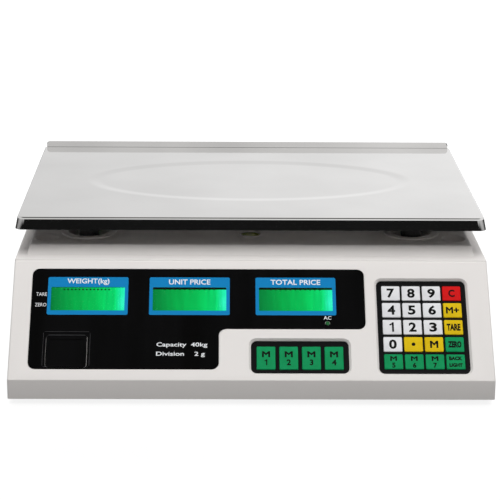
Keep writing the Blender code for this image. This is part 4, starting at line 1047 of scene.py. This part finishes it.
def studioFloor():
    # a glowing white sweep that only the camera sees, so that its shadows stay pale
    bm = bmesh.new()
    bmesh.ops.create_grid(bm, x_segments=1, y_segments=1, size=studio["floor"] / 2)
    mesh = bpy.data.meshes.new("floor")
    bm.to_mesh(mesh)
    bm.free()
    floor = bpy.data.objects.new("floor", mesh)
    scene.collection.objects.link(floor)
    material, tree, shader, place = newMaterial("matt_white_sweep", Roughness=0.25, Specular_IOR_Level=0.25)
    paper = addNode(tree, "TexNoise", {"Vector": place, "Scale": perMm(300)})
    tone = rampStops(addNode(tree, "ValToRGB", {"Fac": paper}),
                     [(0.3, linear("6E6E6E")), (0.7, linear("6B6B6B"))])
    plug(tone, shader, "Base Color")
    shader.inputs["Emission Color"].default_value = (1, 1, 1, 1)
    shader.inputs["Emission Strength"].default_value = studio["floorGlow"]
    mesh.materials.append(material)
    floor.visible_glossy = False
    floor.visible_diffuse = False


def skyPanel(name, tilt, turn, angle, strength):
    # a soft panel far overhead: a sun with a wide disc, kept out of the reflections
    light = bpy.data.lights.new(name, "SUN")
    light.angle = math.radians(angle)
    light.energy = strength
    lamp = bpy.data.objects.new(name, light)
    lamp.rotation_euler = (math.radians(tilt), 0, math.radians(turn))
    lamp.visible_glossy = False
    lamp.visible_transmission = False
    scene.collection.objects.link(lamp)


def studioSky():
    # Diffuse light is dim from the sides and from below. Reflections see a bright band all round the horizon,
    # a dark roof and a dark ground, which is what gives the steel its light top and its black front edge.
    world = bpy.data.worlds.new("tent")
    scene.world = world
    world.use_nodes = True
    tree = world.node_tree
    tree.nodes.clear()
    coords = addNode(tree, "TexCoord")
    split = addNode(tree, "SeparateXYZ", {"Vector": coords.outputs["Generated"]})
    place = addNode(tree, "MapRange", {"Value": split.outputs["Z"], "From Min": -1.0, "From Max": 1.0})
    band = rampStops(addNode(tree, "ValToRGB", {"Fac": place}), [(0.0, (0.010, 0.010, 0.010, 1)), (0.455,
                                                                                                   (0.010,
                                                                                                    0.010,
                                                                                                    0.010,
                                                                                                    1)),
                                                                 (0.51, (1.0, 1.0, 1.0, 1)), (0.56, (1.0,
                                                                                                     1.0,
                                                                                                     1.0,
                                                                                                     1)),
                                                                 (0.66, (0.86, 0.86, 0.86, 1)), (0.895,
                                                                                                 (0.90,
                                                                                                  0.90,
                                                                                                  0.89,
                                                                                                  1)),
                                                                 (0.945, (0.06, 0.06, 0.06, 1)),
                                                                 (1.0, (0.05, 0.05, 0.05, 1))])
    side = addNode(tree, "MapRange", {"Value": split.outputs["X"], "From Min": -0.14, "From Max": 0.14,
                                      "To Min": studio["steelSky"][0], "To Max": studio["steelSky"][1]})
    steelSky = addNode(tree, "VectorMath", {"Scale": side}, operation="SCALE")
    tree.links.new(band.outputs["Color"], steelSky.inputs[0])
    ambient = addNode(tree, "MapRange", {"Value": split.outputs["Z"], "From Min": -0.1, "From Max": 0.1,
                                         "To Min": studio["below"], "To Max": studio["frontDim"]})
    paths = addNode(tree, "LightPath")
    ray = addNode(tree, "Mix", {"Factor": paths.outputs["Is Glossy Ray"]}, data_type="RGBA")
    plug(ambient, ray, "A")
    plug(steelSky, ray, "B")
    white = addNode(tree, "Mix", {"Factor": paths.outputs["Is Camera Ray"]}, data_type="RGBA")
    plug(ray, white, "A")
    white.inputs["B"].default_value = (1, 1, 1, 1)
    background = addNode(tree, "Background", {"Strength": 1.0})
    plug(white, background, "Color")
    addNode(tree, "OutputWorld", {"Surface": background})


camera = {"lens": 135.66, "pitch": 16.03, "yaw": -0.87, "roll": 0.42, "place": (-0.0206, -1.4021, 0.4653)}


def photographCamera():
    data = bpy.data.cameras.new("camera")
    data.lens = camera["lens"]
    data.sensor_width = 36
    eye = bpy.data.objects.new("camera", data)
    eye.location = camera["place"]
    turn = Matrix.Rotation(math.radians(camera["yaw"]), 3,
                           "Z") @ Matrix.Rotation(math.radians(90 - camera["pitch"]), 3, "X")
    eye.rotation_euler = (turn @ Matrix.Rotation(math.radians(camera["roll"]), 3, "Z")).to_euler()
    scene.collection.objects.link(eye)
    scene.camera = eye


studioFloor()
studioSky()
skyPanel("roof_panel", *studio["zenithTilt"], studio["zenithAngle"], studio["zenith"])
photographCamera()
scene.view_settings.view_transform = "Standard"
print("studio set")
